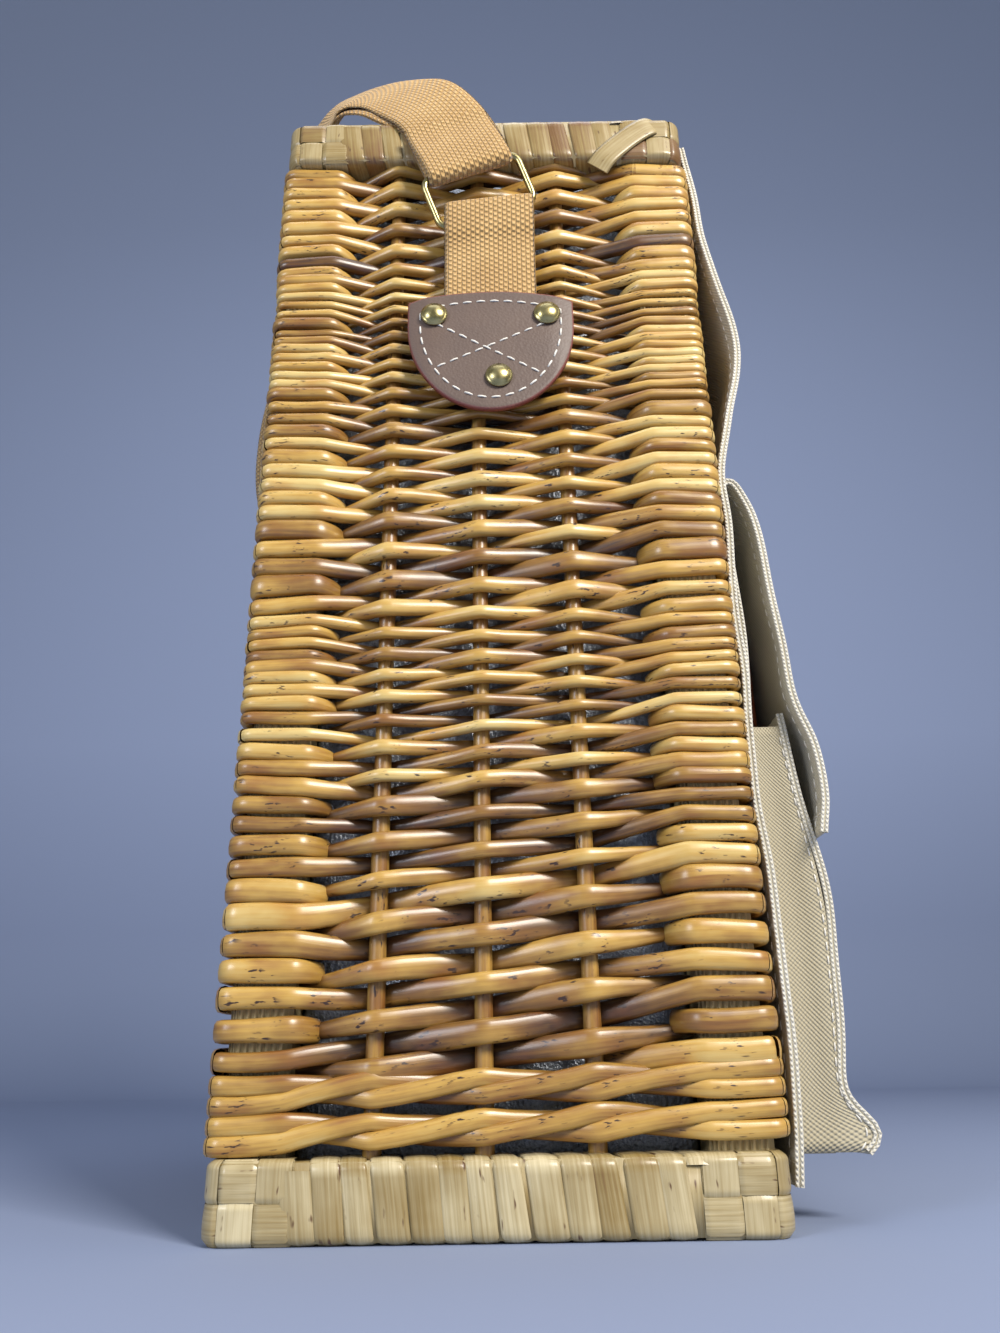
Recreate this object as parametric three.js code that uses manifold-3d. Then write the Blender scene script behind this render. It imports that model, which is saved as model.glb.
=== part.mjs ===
// A tall insulated willow picnic basket: a woven willow body on four corner posts, a foil liner with a
// padded lid, a canvas front with a bellows pocket, and a webbing strap on riveted leather patches.
// Millimetres. The canvas front faces -Y, +X runs across it and +Z is up. The origin is the middle of
// the underside, and left is the -X side.
import * as THREE from 'three';
import { mergeVertices } from 'three/addons/utils/BufferGeometryUtils.js';
import Module from 'manifold-3d';

const wasm = await Module();
wasm.setup();

// Whole basket
const basketWidth = 290;
const basketDepth = 179;
const basketHeight = 440;
const seamGap = 0.3;
const overrun = 10;

// Rods, stakes, posts and rims
const rodDiameter = 5;
const stakeDiameter = 6;
const postWidth = 20;
const postChamfer = 2.5;
const postRecess = 4;
const railHeight = 23;
const railThickness = 18;
const railProud = 3;
const railSetback = 2;
const railRounding = 8;
const railChamfer = 3;
const stakeSocketDepth = 8;
const sideStakeSpacing = 34.5;
const sideStakeForward = -3.8;
const frontStakeSpacing = 44;
const tuckStart = 1;
const tuckDepth = 4;
const stakeCover = 0.8;
const crossingDepth = 6.5;
const rowClimb = 2.6;

// Weave from the bottom up: the share of its height where each band of rows ends, and the rows in the band
const weaveBandShares = [
  [0.06, 4],
  [0.213, 7],
  [0.303, 5],
  [0.364, 4],
  [0.458, 8],
  [0.556, 5],
  [0.696, 9],
  [0.858, 15],
  [1, 9],
];
const climbShares = { starts: 0.06, isFull: 0.11, wanes: 0.9, ends: 1 };

// Base
const runnerThickness = 5;
const runnerWidth = 14;
const runnerInset = 24.2;
const basePanelThickness = 6.5;

// Liner and lid
const linerWall = 5;
const linerDrop = 14;
const lidThickness = 7;
const lidSeat = 3;
const lidHingeGap = 0.7;
const lidWingClearance = 1.3;
const liningThickness = 6;
const liningClearance = 1.5;
const hingeStripThickness = 1.3;
const hingeStripHeight = 11;
const pullTabWidth = 25;
const pullTabLength = 30;
const pullTabThickness = 2;
const pullTabInset = 5;

// Canvas apron, pocket and flap
const canvasThickness = 1.2;
const apronSideInset = 6;
const apronTopDrop = 9;
const apronBottomRise = 12;
const apronBulge = 13;
const pocketSideInset = 23;
const pocketTop = 168;
const pocketBottom = 20;
const pocketDepth = 26;
const flapSideInset = 15;
const flapSeamDrop = 5;
const flapRiserHeight = 93;
const riserBulge = 4.2;
const flapFoldHeight = 7;
const flapReach = 26;
const flapDrop = 142;
const fastenerThickness = 1.5;
const fastenerSideInset = 45;
const loopStripHeight = 25;
const loopStripDrop = 2;
const hookStripHeight = 17;

// Cheese board in the pocket
const boardSideRoom = 22;
const boardTopRoom = 47.5;
const boardThickness = 7;
const boardCornerRadius = 18;
const boardClearance = 0.5;

// Leather patches and rivets
const gearForward = 1.5;
const patchWidth = 67;
const patchHeight = 57;
const patchArch = 4;
const patchShoulder = 12;
const patchThickness = 2.2;
const patchTopDrop = 99;
const rivetSpacing = 45.4;
const rivetCapRadius = 5.7;
const rivetCapRise = 2.8;
const rivetShankRadius = 1.5;
const rivetTailRadius = 4;
const rivetTailThickness = 1.2;
const rivetDomeShares = [[1, 0.25], [0.8, 0.7], [0.45, 1], [0, 1]];
const upperRivetDrop = 12;
const lowerRivetDrop = 42;
const lowerRivetForward = 3;
const rivetHoleClearance = 0.3;
const backingMargin = 6;
const backingThickness = 1.5;

// Webbing, rings and strap
const strapWidth = 38;
const strapThickness = 1.6;
const wireDiameter = 3;
const ringWidth = 46;
const ringHeight = 27;
const ringBend = 2;
const ringTilt = THREE.MathUtils.degToRad(20.8);
const ringDrop = 56.5;
const barClearance = 0.5;
const tabTuck = 36;
const hairpinMerge = 12;
const strapEndLength = 30;
const strapFoldInset = 0.5;
const strapFoldShare = 0.73;

// Facets: how many straight steps stand for a round one
const stakeSides = 10;
const rivetSides = 10;
const wireSides = 8;
const bandSides = 4;
const bendSteps = 4;
const cornerSteps = 2;
const halfTurnSteps = 6;
const outlineSteps = 16;
const weldTolerance = 1e-4;
const flatTolerance = 1e-3;
const quarterTurn = Math.PI / 2;

// Places worked out from the sizes above
const halfWidth = basketWidth / 2;
const halfDepth = basketDepth / 2;
const weaveThickness = 2 * rodDiameter + stakeDiameter;
const postOuterX = halfWidth - rodDiameter;
const postOuterY = halfDepth - rodDiameter;
const postInnerX = postOuterX - postWidth;
const postInnerY = postOuterY - postWidth;
const railOuterX = halfWidth + railProud;
const railInnerX = railOuterX - railThickness;
const railOuterY = halfDepth - railSetback;
const railInnerY = railOuterY - railThickness;
const upperRailBottom = basketHeight - railHeight;
const weaveBottom = railHeight + seamGap;
const weaveTop = upperRailBottom - seamGap;
const basePanelBottom = runnerThickness + seamGap;
const basePanelTop = basePanelBottom + basePanelThickness;
const backingOuterX = halfWidth - weaveThickness - seamGap;
const rivetTailOuterX = backingOuterX - backingThickness - seamGap;
const linerOuterX = rivetTailOuterX - rivetTailThickness - 2 * seamGap;
const linerOuterY = railInnerY - seamGap;
const linerBottom = basePanelTop + seamGap;
const linerTop = basketHeight - linerDrop;
const lidBottom = linerTop + seamGap;
const lidTop = lidBottom + lidThickness;

const basket = new THREE.Group();

// Mesh with its own material
function addPiece(name, geometry, colour, roughness, metalness) {
  const material = new THREE.MeshStandardMaterial({ color: colour, roughness, metalness });
  const mesh = new THREE.Mesh(geometry, material);
  mesh.name = name;
  basket.add(mesh);
  return mesh;
}

const willow = (name, geometry) => addPiece(name, geometry, 0xc8934e, 0.45, 0);
const skein = (name, geometry) => addPiece(name, geometry, 0xc9b98a, 0.5, 0);
const paleWood = (name, geometry) => addPiece(name, geometry, 0xb8a06e, 0.7, 0);
const foil = (name, geometry) => addPiece(name, geometry, 0xb9bcc0, 0.35, 0.6);
const canvas = (name, geometry) => addPiece(name, geometry, 0xe4e0d0, 0.9, 0);
const webbing = (name, geometry) => addPiece(name, geometry, 0xddb97e, 0.9, 0);
const leather = (name, geometry) => addPiece(name, geometry, 0x8e7568, 0.6, 0);
const fastener = (name, geometry) => addPiece(name, geometry, 0xa08868, 0.95, 0);
const brass = (name, geometry) => addPiece(name, geometry, 0xb9a870, 0.25, 1);
const darkWood = (name, geometry) => addPiece(name, geometry, 0x5a3020, 0.5, 0);

// The same shape on both narrow sides: drawn on the left, mirrored for the right
function addPair(stem, finish, geometry) {
  finish(`${stem}_left`, geometry);
  finish(`${stem}_right`, mirrored(geometry));
}

// Copy of a geometry reflected in the middle plane, with its faces turned to point outwards again
function mirrored(geometry) {
  const copy = geometry.index ? geometry.toNonIndexed() : geometry.clone();
  const place = copy.attributes.position;
  for (let corner = 0; corner < place.count; corner += 3) {
    const points = [0, 2, 1].map((step) => new THREE.Vector3().fromBufferAttribute(place, corner + step));
    points.forEach((point, step) => place.setXYZ(corner + step, -point.x, point.y, point.z));
  }
  return welded(copy);
}

// Shared vertices merged and triangles without area dropped
function welded(geometry) {
  const bare = geometry.clone();
  bare.deleteAttribute('normal');
  bare.deleteAttribute('uv');
  const merged = mergeVertices(bare, weldTolerance);
  const kept = [];
  for (let corner = 0; corner < merged.index.count; corner += 3) {
    const [a, b, c] = [0, 1, 2].map((step) => merged.index.getX(corner + step));
    if (a !== b && b !== c && c !== a) kept.push(a, b, c);
  }
  merged.setIndex(kept);
  return merged;
}

function toSolid(geometry) {
  const closed = welded(geometry);
  const vertProperties = new Float32Array(closed.attributes.position.array);
  const triVerts = new Uint32Array(closed.index.array);
  return new wasm.Manifold(new wasm.Mesh({ numProp: 3, vertProperties, triVerts }));
}

function toGeometry(solid) {
  const mesh = solid.getMesh();
  const geometry = new THREE.BufferGeometry();
  geometry.setAttribute('position', new THREE.BufferAttribute(new Float32Array(mesh.vertProperties), 3));
  geometry.setIndex([...mesh.triVerts]);
  return geometry;
}

function cut(geometry, tools) {
  let solid = toSolid(geometry);
  for (const tool of tools) solid = solid.subtract(toSolid(tool));
  return toGeometry(solid.simplify(flatTolerance));
}

function joined(geometries) {
  const solid = geometries.map(toSolid).reduce((whole, added) => whole.add(added));
  return toGeometry(solid.simplify(flatTolerance));
}

// Box between two corners
function boxBetween(low, high) {
  const size = high.map((value, axis) => value - low[axis]);
  const middle = high.map((value, axis) => (value + low[axis]) / 2);
  return new THREE.BoxGeometry(...size).translate(...middle);
}

// Outline of [first, second] points drawn out along one axis. The outline's two axes follow that axis in
// the order X, Y, Z, X, Y, so an outline drawn out along X holds [y, z] points.
function prism(outline, axis, from, to, holes = []) {
  const shape = new THREE.Shape(outline.map(([a, b]) => new THREE.Vector2(a, b)));
  for (const hole of holes) shape.holes.push(new THREE.Path(hole.map(([a, b]) => new THREE.Vector2(a, b))));
  const geometry = new THREE.ExtrudeGeometry(shape, { depth: to - from, bevelEnabled: false });
  const basis = basisOrder[axis].map((letter) => unit[letter]);
  geometry.translate(0, 0, from);
  return geometry.applyMatrix4(new THREE.Matrix4().makeBasis(...basis));
}

const alongX = 'x';
const alongY = 'y';
const alongZ = 'z';
const unit = {
  x: new THREE.Vector3(1, 0, 0),
  y: new THREE.Vector3(0, 1, 0),
  z: new THREE.Vector3(0, 0, 1),
};
const basisOrder = { x: ['y', 'z', 'x'], y: ['z', 'x', 'y'], z: ['x', 'y', 'z'] };

// Points of a circle, or of part of one
function arc(centre, radius, startAngle, endAngle, steps) {
  const points = [];
  for (let step = 0; step <= steps; step += 1) {
    const angle = startAngle + ((endAngle - startAngle) * step) / steps;
    points.push([centre[0] + radius * Math.cos(angle), centre[1] + radius * Math.sin(angle)]);
  }
  return points;
}

function circle(centre, radius, sides) {
  return arc(centre, radius, 0, 2 * Math.PI, sides).slice(1);
}

// Rectangle about the middle with its corners cut off at an angle or rounded
function roundedRectangle(halfA, halfB, radius, steps) {
  const quarter = Math.PI / 2;
  const corners = [[1, 1], [-1, 1], [-1, -1], [1, -1]];
  return corners.flatMap(([signA, signB], turn) => {
    const centre = [signA * (halfA - radius), signB * (halfB - radius)];
    return arc(centre, radius, turn * quarter, (turn + 1) * quarter, steps);
  });
}

// Rectangle about the middle with a square notch at each corner, where a post stands
function notchedRectangle(halfX, halfY, notchX, notchY) {
  const quadrant = [[halfX, 0], [halfX, notchY], [notchX, notchY], [notchX, halfY]];
  const flipped = quadrant.map(([x, y]) => [-x, y]).reverse();
  const upper = [...quadrant, ...flipped];
  const lower = upper.slice(1, -1).map(([x, y]) => [x, -y]).reverse();
  return [...upper, ...lower];
}

// Sheet of even thickness that follows an open line of [y, z] points on one face. Its other face lies on
// the left of the line's direction, or on the right for a negative thickness.
function sheetOutline(line, thickness) {
  const places = line.map(([a, b]) => new THREE.Vector2(a, b));
  const sides = places.slice(1).map((end, index) => {
    const run = end.clone().sub(places[index]).normalize();
    return new THREE.Vector2(-run.y, run.x);
  });
  const far = places.map((place, index) => {
    const before = sides[Math.max(index - 1, 0)];
    const after = sides[Math.min(index, sides.length - 1)];
    const middle = before.clone().add(after).normalize();
    const reach = thickness / middle.dot(before);
    return [place.x + middle.x * reach, place.y + middle.y * reach];
  });
  return [...line, ...far.reverse()];
}

// First coordinate of a line of [y, z] points at height z
function profileAt(line, height) {
  for (let index = 1; index < line.length; index += 1) {
    const [startY, startZ] = line[index - 1];
    const [endY, endZ] = line[index];
    const low = Math.min(startZ, endZ);
    const high = Math.max(startZ, endZ);
    const share = (height - startZ) / (endZ - startZ);
    if (height >= low && height <= high) return startY + (endY - startY) * share;
  }
  const [start, end] = [line[0], line.at(-1)];
  const nearest = Math.abs(height - start[1]) < Math.abs(height - end[1]) ? start : end;
  return nearest[0];
}

// Flat band that follows a row of places. Each place has the direction of the band's width.
function band(places, acrossDirections, width, thickness) {
  const vertices = [];
  const indices = [];
  places.forEach((place, index) => {
    const before = places[Math.max(index - 1, 0)];
    const after = places[Math.min(index + 1, places.length - 1)];
    const run = after.clone().sub(before).normalize();
    const across = acrossDirections[index].clone().addScaledVector(run, -acrossDirections[index].dot(run));
    across.normalize();
    const face = new THREE.Vector3().crossVectors(run, across);
    for (const [sideways, outwards] of [[-1, -1], [1, -1], [1, 1], [-1, 1]]) {
      const corner = place.clone();
      corner.addScaledVector(across, (sideways * width) / 2);
      corner.addScaledVector(face, (outwards * thickness) / 2);
      vertices.push(...corner.toArray());
    }
    if (index > 0) {
      const here = (index - 1) * bandSides;
      const there = index * bandSides;
      for (let side = 0; side < bandSides; side += 1) {
        const next = (side + 1) % bandSides;
        indices.push(here + side, here + next, there + next);
        indices.push(here + side, there + next, there + side);
      }
    }
  });
  const last = (places.length - 1) * bandSides;
  indices.push(0, 2, 1, 0, 3, 2);
  indices.push(last, last + 1, last + 2, last, last + 2, last + 3);
  const geometry = new THREE.BufferGeometry();
  geometry.setAttribute('position', new THREE.Float32BufferAttribute(vertices, 3));
  geometry.setIndex(indices);
  return geometry;
}

// Closed tube round a flat loop of [x, y] points
function wireLoop(loop, radius, sides) {
  const vertices = [];
  const indices = [];
  loop.forEach(([x, y], index) => {
    const before = loop[(index + loop.length - 1) % loop.length];
    const after = loop[(index + 1) % loop.length];
    const run = new THREE.Vector2(after[0] - before[0], after[1] - before[1]).normalize();
    for (let side = 0; side < sides; side += 1) {
      const angle = (2 * Math.PI * side) / sides;
      const sideways = radius * Math.cos(angle);
      vertices.push(x + run.y * sideways, y - run.x * sideways, radius * Math.sin(angle));
      const next = (side + 1) % sides;
      const here = index * sides;
      const there = ((index + 1) % loop.length) * sides;
      indices.push(here + side, there + side, there + next);
      indices.push(here + side, there + next, here + next);
    }
  });
  const geometry = new THREE.BufferGeometry();
  geometry.setAttribute('position', new THREE.Float32BufferAttribute(vertices, 3));
  geometry.setIndex(indices);
  return geometry;
}

// Corner posts: squared poles that stand inside the rims, one at each corner
function addPosts() {
  const section = roundedRectangle(postWidth / 2, postWidth / 2, postChamfer, 1);
  for (const [frontName, signY] of [['front', -1], ['back', 1]]) {
    for (const [sideName, signX] of [['left', -1], ['right', 1]]) {
      const centreX = signX * (postInnerX + postWidth / 2);
      const centreY = signY * (postInnerY + postWidth / 2);
      const pole = prism(section, alongZ, postRecess, basketHeight - postRecess);
      paleWood(`corner_post_${frontName}_${sideName}`, pole.translate(centreX, centreY, 0));
    }
  }
}

// Room that each post needs in a rail
function postRooms() {
  const low = [postInnerX - seamGap, postInnerY - seamGap, -overrun];
  const high = [postOuterX + seamGap, postOuterY + seamGap, basketHeight + overrun];
  const room = boxBetween(low, high);
  const quarterRooms = [];
  for (const signX of [-1, 1]) {
    for (const signY of [-1, 1]) {
      const middle = [signX * (low[0] + high[0]) / 2, signY * (low[1] + high[1]) / 2, basketHeight / 2];
      const centred = room.clone().translate(-(low[0] + high[0]) / 2, -(low[1] + high[1]) / 2, 0);
      quarterRooms.push(centred.translate(middle[0], middle[1], 0));
    }
  }
  return quarterRooms;
}

// Middle lines of the stakes in the left and the front wall
const sideStakePlaces = [-1, 0, 1].map((turn) => ({
  x: -(halfWidth - weaveThickness / 2),
  y: turn * sideStakeSpacing - sideStakeForward,
}));
const frontStakePlaces = [-2, -1, 0, 1, 2].map((turn) => ({
  x: turn * frontStakeSpacing,
  y: -(halfDepth - weaveThickness / 2),
}));

function stakesAt(places, diameter, bottom, top) {
  return places.map(({ x, y }) => prism(circle([x, y], diameter / 2, stakeSides), alongZ, bottom, top));
}

// Stakes of the narrow sides: round sticks that run through the weave, their ends let into the rails
const stakeBottom = railHeight - stakeSocketDepth;
const stakeTop = upperRailBottom + stakeSocketDepth;

function addStakes() {
  const sticks = stakesAt(sideStakePlaces, stakeDiameter, stakeBottom, stakeTop);
  const places = ['front', 'middle', 'back'];
  sticks.forEach((stick, index) => addPair(`stake_${places[index]}`, willow, welded(stick)));
}

// Rims: the narrow sides' rails run the full depth and turn the corners, the front and back ones lie between
function addRails() {
  const socketDiameter = stakeDiameter + 2 * seamGap;
  const levels = [
    ['bottom', 0, railHeight, stakeBottom - seamGap, railHeight + overrun],
    ['top', upperRailBottom, basketHeight, upperRailBottom - overrun, stakeTop + seamGap],
  ];
  for (const [levelName, bottom, top, socketBottom, socketTop] of levels) {
    const middleZ = (bottom + top) / 2;
    const sideSection = roundedRectangle(railHeight / 2, railThickness / 2, railChamfer, 1);
    const sideLength = prism(sideSection, alongY, -railOuterY, railOuterY);
    sideLength.translate(-(railOuterX - railThickness / 2), 0, middleZ);
    const cornerPlan = roundedRectangle(railOuterX, railOuterY, railRounding, bendSteps);
    const cornerShape = prism(cornerPlan, alongZ, bottom - overrun, top + overrun);
    const shaped = toGeometry(toSolid(sideLength).intersect(toSolid(cornerShape)));
    const sideSockets = stakesAt(sideStakePlaces, socketDiameter, socketBottom, socketTop);
    addPair(`${levelName}_rail`, skein, cut(shaped, [...postRooms(), ...sideSockets]));

    const frontSection = roundedRectangle(railThickness / 2, railHeight / 2, railChamfer, 1);
    const halfLength = railInnerX - seamGap;
    const frontLength = prism(frontSection, alongX, -halfLength, halfLength);
    frontLength.translate(0, -(railOuterY - railThickness / 2), middleZ);
    const frontSockets = stakesAt(frontStakePlaces, socketDiameter, socketBottom, socketTop);
    const front = cut(frontLength, [...postRooms(), ...frontSockets]);
    skein(`${levelName}_rail_front`, front);
    skein(`${levelName}_rail_back`, front.clone().rotateZ(Math.PI));
  }
}

// Shares of the weave's height at the middles of its rows
function rowShares() {
  const rows = [];
  let bandStartShare = 0;
  for (const [bandEndShare, count] of weaveBandShares) {
    const stepShare = (bandEndShare - bandStartShare) / count;
    for (let row = 0; row < count; row += 1) rows.push(bandStartShare + (row + 1 / 2) * stepShare);
    bandStartShare = bandEndShare;
  }
  return rows;
}

// Height of a row above its even place: rows climb to the front, but not the lowest and the highest one
function rowLift(levelShare, forwardShare) {
  const { smoothstep } = THREE.MathUtils;
  const { starts, isFull, wanes, ends } = climbShares;
  const strength = smoothstep(levelShare, starts, isFull) * (1 - smoothstep(levelShare, wanes, ends));
  return rowClimb * strength * forwardShare;
}

// Plan of a wall, as [along, outwards] points: a thick middle between the posts and thin wings that lap over
// them. A row's points lie on its outer face.
function wallPlan({ halfLength, outer, postInner, roundEnds }, row = []) {
  const wingInner = outer - rodDiameter + seamGap;
  const inner = outer - weaveThickness;
  const middle = postInner - seamGap;
  const radius = rodDiameter / 2;
  const rounded = arc([halfLength - radius, outer - radius], radius, 0, quarterTurn, cornerSteps);
  const corner = roundEnds ? rounded : [[halfLength, outer]];
  const half = [[middle, inner], [middle, wingInner], [halfLength, wingInner], ...corner];
  return [...half, ...row, ...half.map(([along, out]) => [-along, out]).reverse()];
}

// Outer face of one row, as [along, outwards] points: over or behind the first knot, on the other side at
// each next one, and in between at the depth where rods cross. Behind a stake the face lies a cover above
// its room.
function rowLine({ outer, postInner, stakes }, startsOver) {
  const tuck = postInner + tuckStart - tuckDepth;
  const knots = [tuck, ...stakes, -tuck];
  const points = knots.flatMap((along, knot) => {
    const isOver = (knot % 2 === 0) === startsOver;
    const isStake = knot > 0 && knot < knots.length - 1;
    const behind = isStake ? rodDiameter - seamGap - stakeCover : rodDiameter + stakeDiameter;
    const crossing = knot === 0 ? [] : [[(along + knots[knot - 1]) / 2, outer - crossingDepth]];
    return [...crossing, [along, isOver ? outer : outer - behind]];
  });
  return [[postInner + tuckStart, outer], ...points, [-postInner - tuckStart, outer]];
}

// Woven wall as [along, outwards, up] points. Its rows take turns, and every second one starts over the post.
function wovenWall(wall, forwardShareAt) {
  const level = (startsOver, share) => wallPlan(wall, rowLine(wall, startsOver)).map(([along, out]) => {
    const lift = rowLift(share, forwardShareAt(along / wall.halfLength));
    return [along, out, weaveBottom + share * (weaveTop - weaveBottom) + lift];
  });
  const rows = rowShares();
  const levels = rows.map((share, row) => level(row % 2 === 0, share));
  return stacked([level(true, 0), ...levels, level(rows.length % 2 === 1, 1)]);
}

// Closed solid through levels of as many [along, outwards, up] points. Each face between two levels is folded
// along the line between its deeper corners.
function stacked(levels) {
  const count = levels[0].length;
  const vertices = levels.flat(2);
  const outwards = (corner) => vertices[3 * corner + 1];
  const indices = [];
  for (let level = 1; level < levels.length; level += 1) {
    for (let point = 0; point < count; point += 1) {
      const next = (point + 1) % count;
      const [lower, upper] = [(level - 1) * count, level * count];
      const [a, b, c, d] = [lower + point, lower + next, upper + next, upper + point];
      const foldsFromFirst = outwards(a) + outwards(c) < outwards(b) + outwards(d);
      indices.push(...(foldsFromFirst ? [a, b, c, a, c, d] : [a, b, d, b, c, d]));
    }
  }
  for (const [end, isTop] of [[0, false], [levels.length - 1, true]]) {
    const plan = levels[end].map(([along, out]) => new THREE.Vector2(along, out));
    for (const face of THREE.ShapeUtils.triangulateShape(plan, [])) {
      const corners = face.map((corner) => end * count + corner);
      indices.push(...(isTop ? corners : corners.reverse()));
    }
  }
  const geometry = new THREE.BufferGeometry();
  geometry.setAttribute('position', new THREE.Float32BufferAttribute(vertices, 3));
  geometry.setIndex(indices);
  return geometry;
}

// Rivets in the left patch: two above, one below, as [y, z] places
const patchTop = basketHeight - patchTopDrop;
const rivetPlaces = [
  [rivetSpacing / 2 - gearForward, patchTop - upperRivetDrop],
  [-rivetSpacing / 2 - gearForward, patchTop - upperRivetDrop],
  [-gearForward - lowerRivetForward, patchTop - lowerRivetDrop],
];
const rivetHoleRadius = rivetShankRadius + rivetHoleClearance;

// Woven walls: rows of rods that go over and behind the stakes by turns, left plain where the apron covers
// them. The front and back walls hold their own stakes, whose ends stand out into the rails.
function addWalls() {
  const sideWall = {
    halfLength: halfDepth,
    outer: halfWidth,
    postInner: postInnerY,
    stakes: sideStakePlaces.map(({ y }) => y).reverse(),
    roundEnds: true,
  };
  const side = wovenWall(sideWall, (alongShare) => -alongShare).rotateZ(quarterTurn);
  const roomDiameter = stakeDiameter + 2 * seamGap;
  const rooms = stakesAt(sideStakePlaces, roomDiameter, weaveBottom - overrun, weaveTop + overrun);
  const [drillStart, drillEnd] = [-(halfWidth + overrun), -(railInnerX - overrun)];
  const rivetHoles = rivetPlaces.map((place) => {
    return prism(circle(place, rivetHoleRadius, wireSides), alongX, drillStart, drillEnd);
  });
  addPair('woven_wall', willow, cut(side, [...rooms, ...rivetHoles]));

  const crossWall = {
    halfLength: postOuterX,
    outer: halfDepth,
    postInner: postInnerX,
    stakes: frontStakePlaces.map(({ x }) => x).reverse(),
    roundEnds: false,
  };
  const sticks = stakesAt(frontStakePlaces, stakeDiameter, stakeBottom, stakeTop);
  const plain = prism(wallPlan(crossWall), alongZ, weaveBottom, weaveTop).rotateZ(2 * quarterTurn);
  willow('woven_wall_front', joined([plain, ...sticks]));
  const turned = sticks.map((stick) => stick.clone().rotateZ(2 * quarterTurn));
  willow('woven_wall_back', joined([wovenWall(crossWall, () => -1), ...turned]));
}

// Base: a woven panel on three slats, level with the underside of the bottom rim
function addBase() {
  const halfLength = railInnerX - seamGap;
  for (const [name, turn] of [['front', -1], ['middle', 0], ['back', 1]]) {
    const centreY = turn * (railInnerY - seamGap - runnerInset);
    const low = [-halfLength, centreY - runnerWidth / 2, 0];
    const high = [halfLength, centreY + runnerWidth / 2, runnerThickness];
    paleWood(`base_runner_${name}`, boxBetween(low, high));
  }
  const plan = notchedRectangle(halfLength, railInnerY - seamGap, postInnerX - seamGap, postInnerY - seamGap);
  willow('base_panel', prism(plan, alongZ, basePanelBottom, basePanelTop));
}

// Liner: a padded foil box, open at the top, notched at the corners where the posts stand
function addLiner() {
  const notchX = postInnerX - seamGap;
  const notchY = postInnerY - seamGap;
  const outer = notchedRectangle(linerOuterX, linerOuterY, notchX, notchY);
  const block = prism(outer, alongZ, linerBottom, linerTop);
  const inside = [linerOuterX, linerOuterY, notchX, notchY].map((value) => value - linerWall);
  const hollow = prism(notchedRectangle(...inside), alongZ, linerBottom + linerWall, linerTop + overrun);
  foil('liner', cut(block, [hollow]));
}

// Lid: a padded board on the liner's edge, a foil plug under it, and a strip of webbing as its hinge
const hingeAxisY = railInnerY - seamGap - hingeStripThickness - lidHingeGap;
function addLid() {
  const halfX = linerOuterX - linerWall + lidSeat;
  const frontY = postInnerY - seamGap;
  const backY = hingeAxisY - lidHingeGap;
  const notchX = postInnerX - 2 * seamGap;
  const wingY = frontY - lidWingClearance;
  const frontPlan = [[-halfX, -frontY], [halfX, -frontY], [halfX, wingY], [notchX, wingY]];
  const plan = [...frontPlan, [notchX, backY], [-notchX, backY], [-notchX, wingY], [-halfX, wingY]];
  canvas('lid_panel', prism(plan, alongZ, lidBottom, lidTop));

  const insideX = linerOuterX - linerWall - liningClearance;
  const insideY = linerOuterY - linerWall - liningClearance;
  const notch = [postInnerX - linerWall - liningClearance, postInnerY - linerWall - liningClearance];
  const plug = notchedRectangle(insideX, insideY, ...notch);
  foil('lid_lining', prism(plug, alongZ, linerTop - liningThickness, linerTop));

  const stripBack = railInnerY - seamGap;
  const stripLow = [-notchX, stripBack - hingeStripThickness, lidBottom];
  webbing('lid_hinge_strip', boxBetween(stripLow, [notchX, stripBack, lidBottom + hingeStripHeight]));

  const tabFront = -frontY + pullTabInset;
  const tabLow = [-pullTabWidth / 2, tabFront, lidTop + seamGap];
  const tabHigh = [pullTabWidth / 2, tabFront + pullTabLength, lidTop + seamGap + pullTabThickness];
  webbing('lid_pull_tab', boxBetween(tabLow, tabHigh));
}

// Apron: a canvas sheet that hangs from the front rim, bulges below it and lies flat behind the pocket.
// Each row holds a share of the basket's height and a share of the bulge.
const apronShares = [
  [0.945, 0], [0.895, 0.2], [0.8, 0.52], [0.735, 0.89], [0.65, 0.52], [0.584, 0], [0.37, 0], [0.24, 0.08],
  [0.15, 0.2], [0.07, 0.15],
];
const apronPlane = halfDepth + seamGap;
const apronLine = [
  [-(railOuterY + seamGap), basketHeight - apronTopDrop],
  ...apronShares.map(([height, bulge]) => [-(apronPlane + bulge * apronBulge), height * basketHeight]),
  [-apronPlane, apronBottomRise],
];
const flapSeamRise = pocketTop - flapSeamDrop;
const apronOuterAt = (height) => profileAt(apronLine, height) - canvasThickness - seamGap;

function addApron() {
  const outline = sheetOutline(apronLine, -canvasThickness);
  const halfLength = halfWidth - apronSideInset;
  canvas('front_apron', prism(outline, alongX, -halfLength, halfLength));
}

// Pocket: a deep canvas front on two gussets and a bottom. Each row holds a share of the height from its
// bottom to its mouth and a share of the depth.
const pocketShares = [[0, 0.68], [0.07, 0.76], [0.25, 0.85], [0.52, 0.9], [0.82, 0.68], [1, 0.56]];
const pocketPlane = apronPlane + canvasThickness + seamGap;
const pocketRise = pocketTop - pocketBottom;
const pocketLine = pocketShares.map(([height, depth]) => {
  return [-(pocketPlane + depth * pocketDepth), pocketBottom + height * pocketRise];
});

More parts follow.
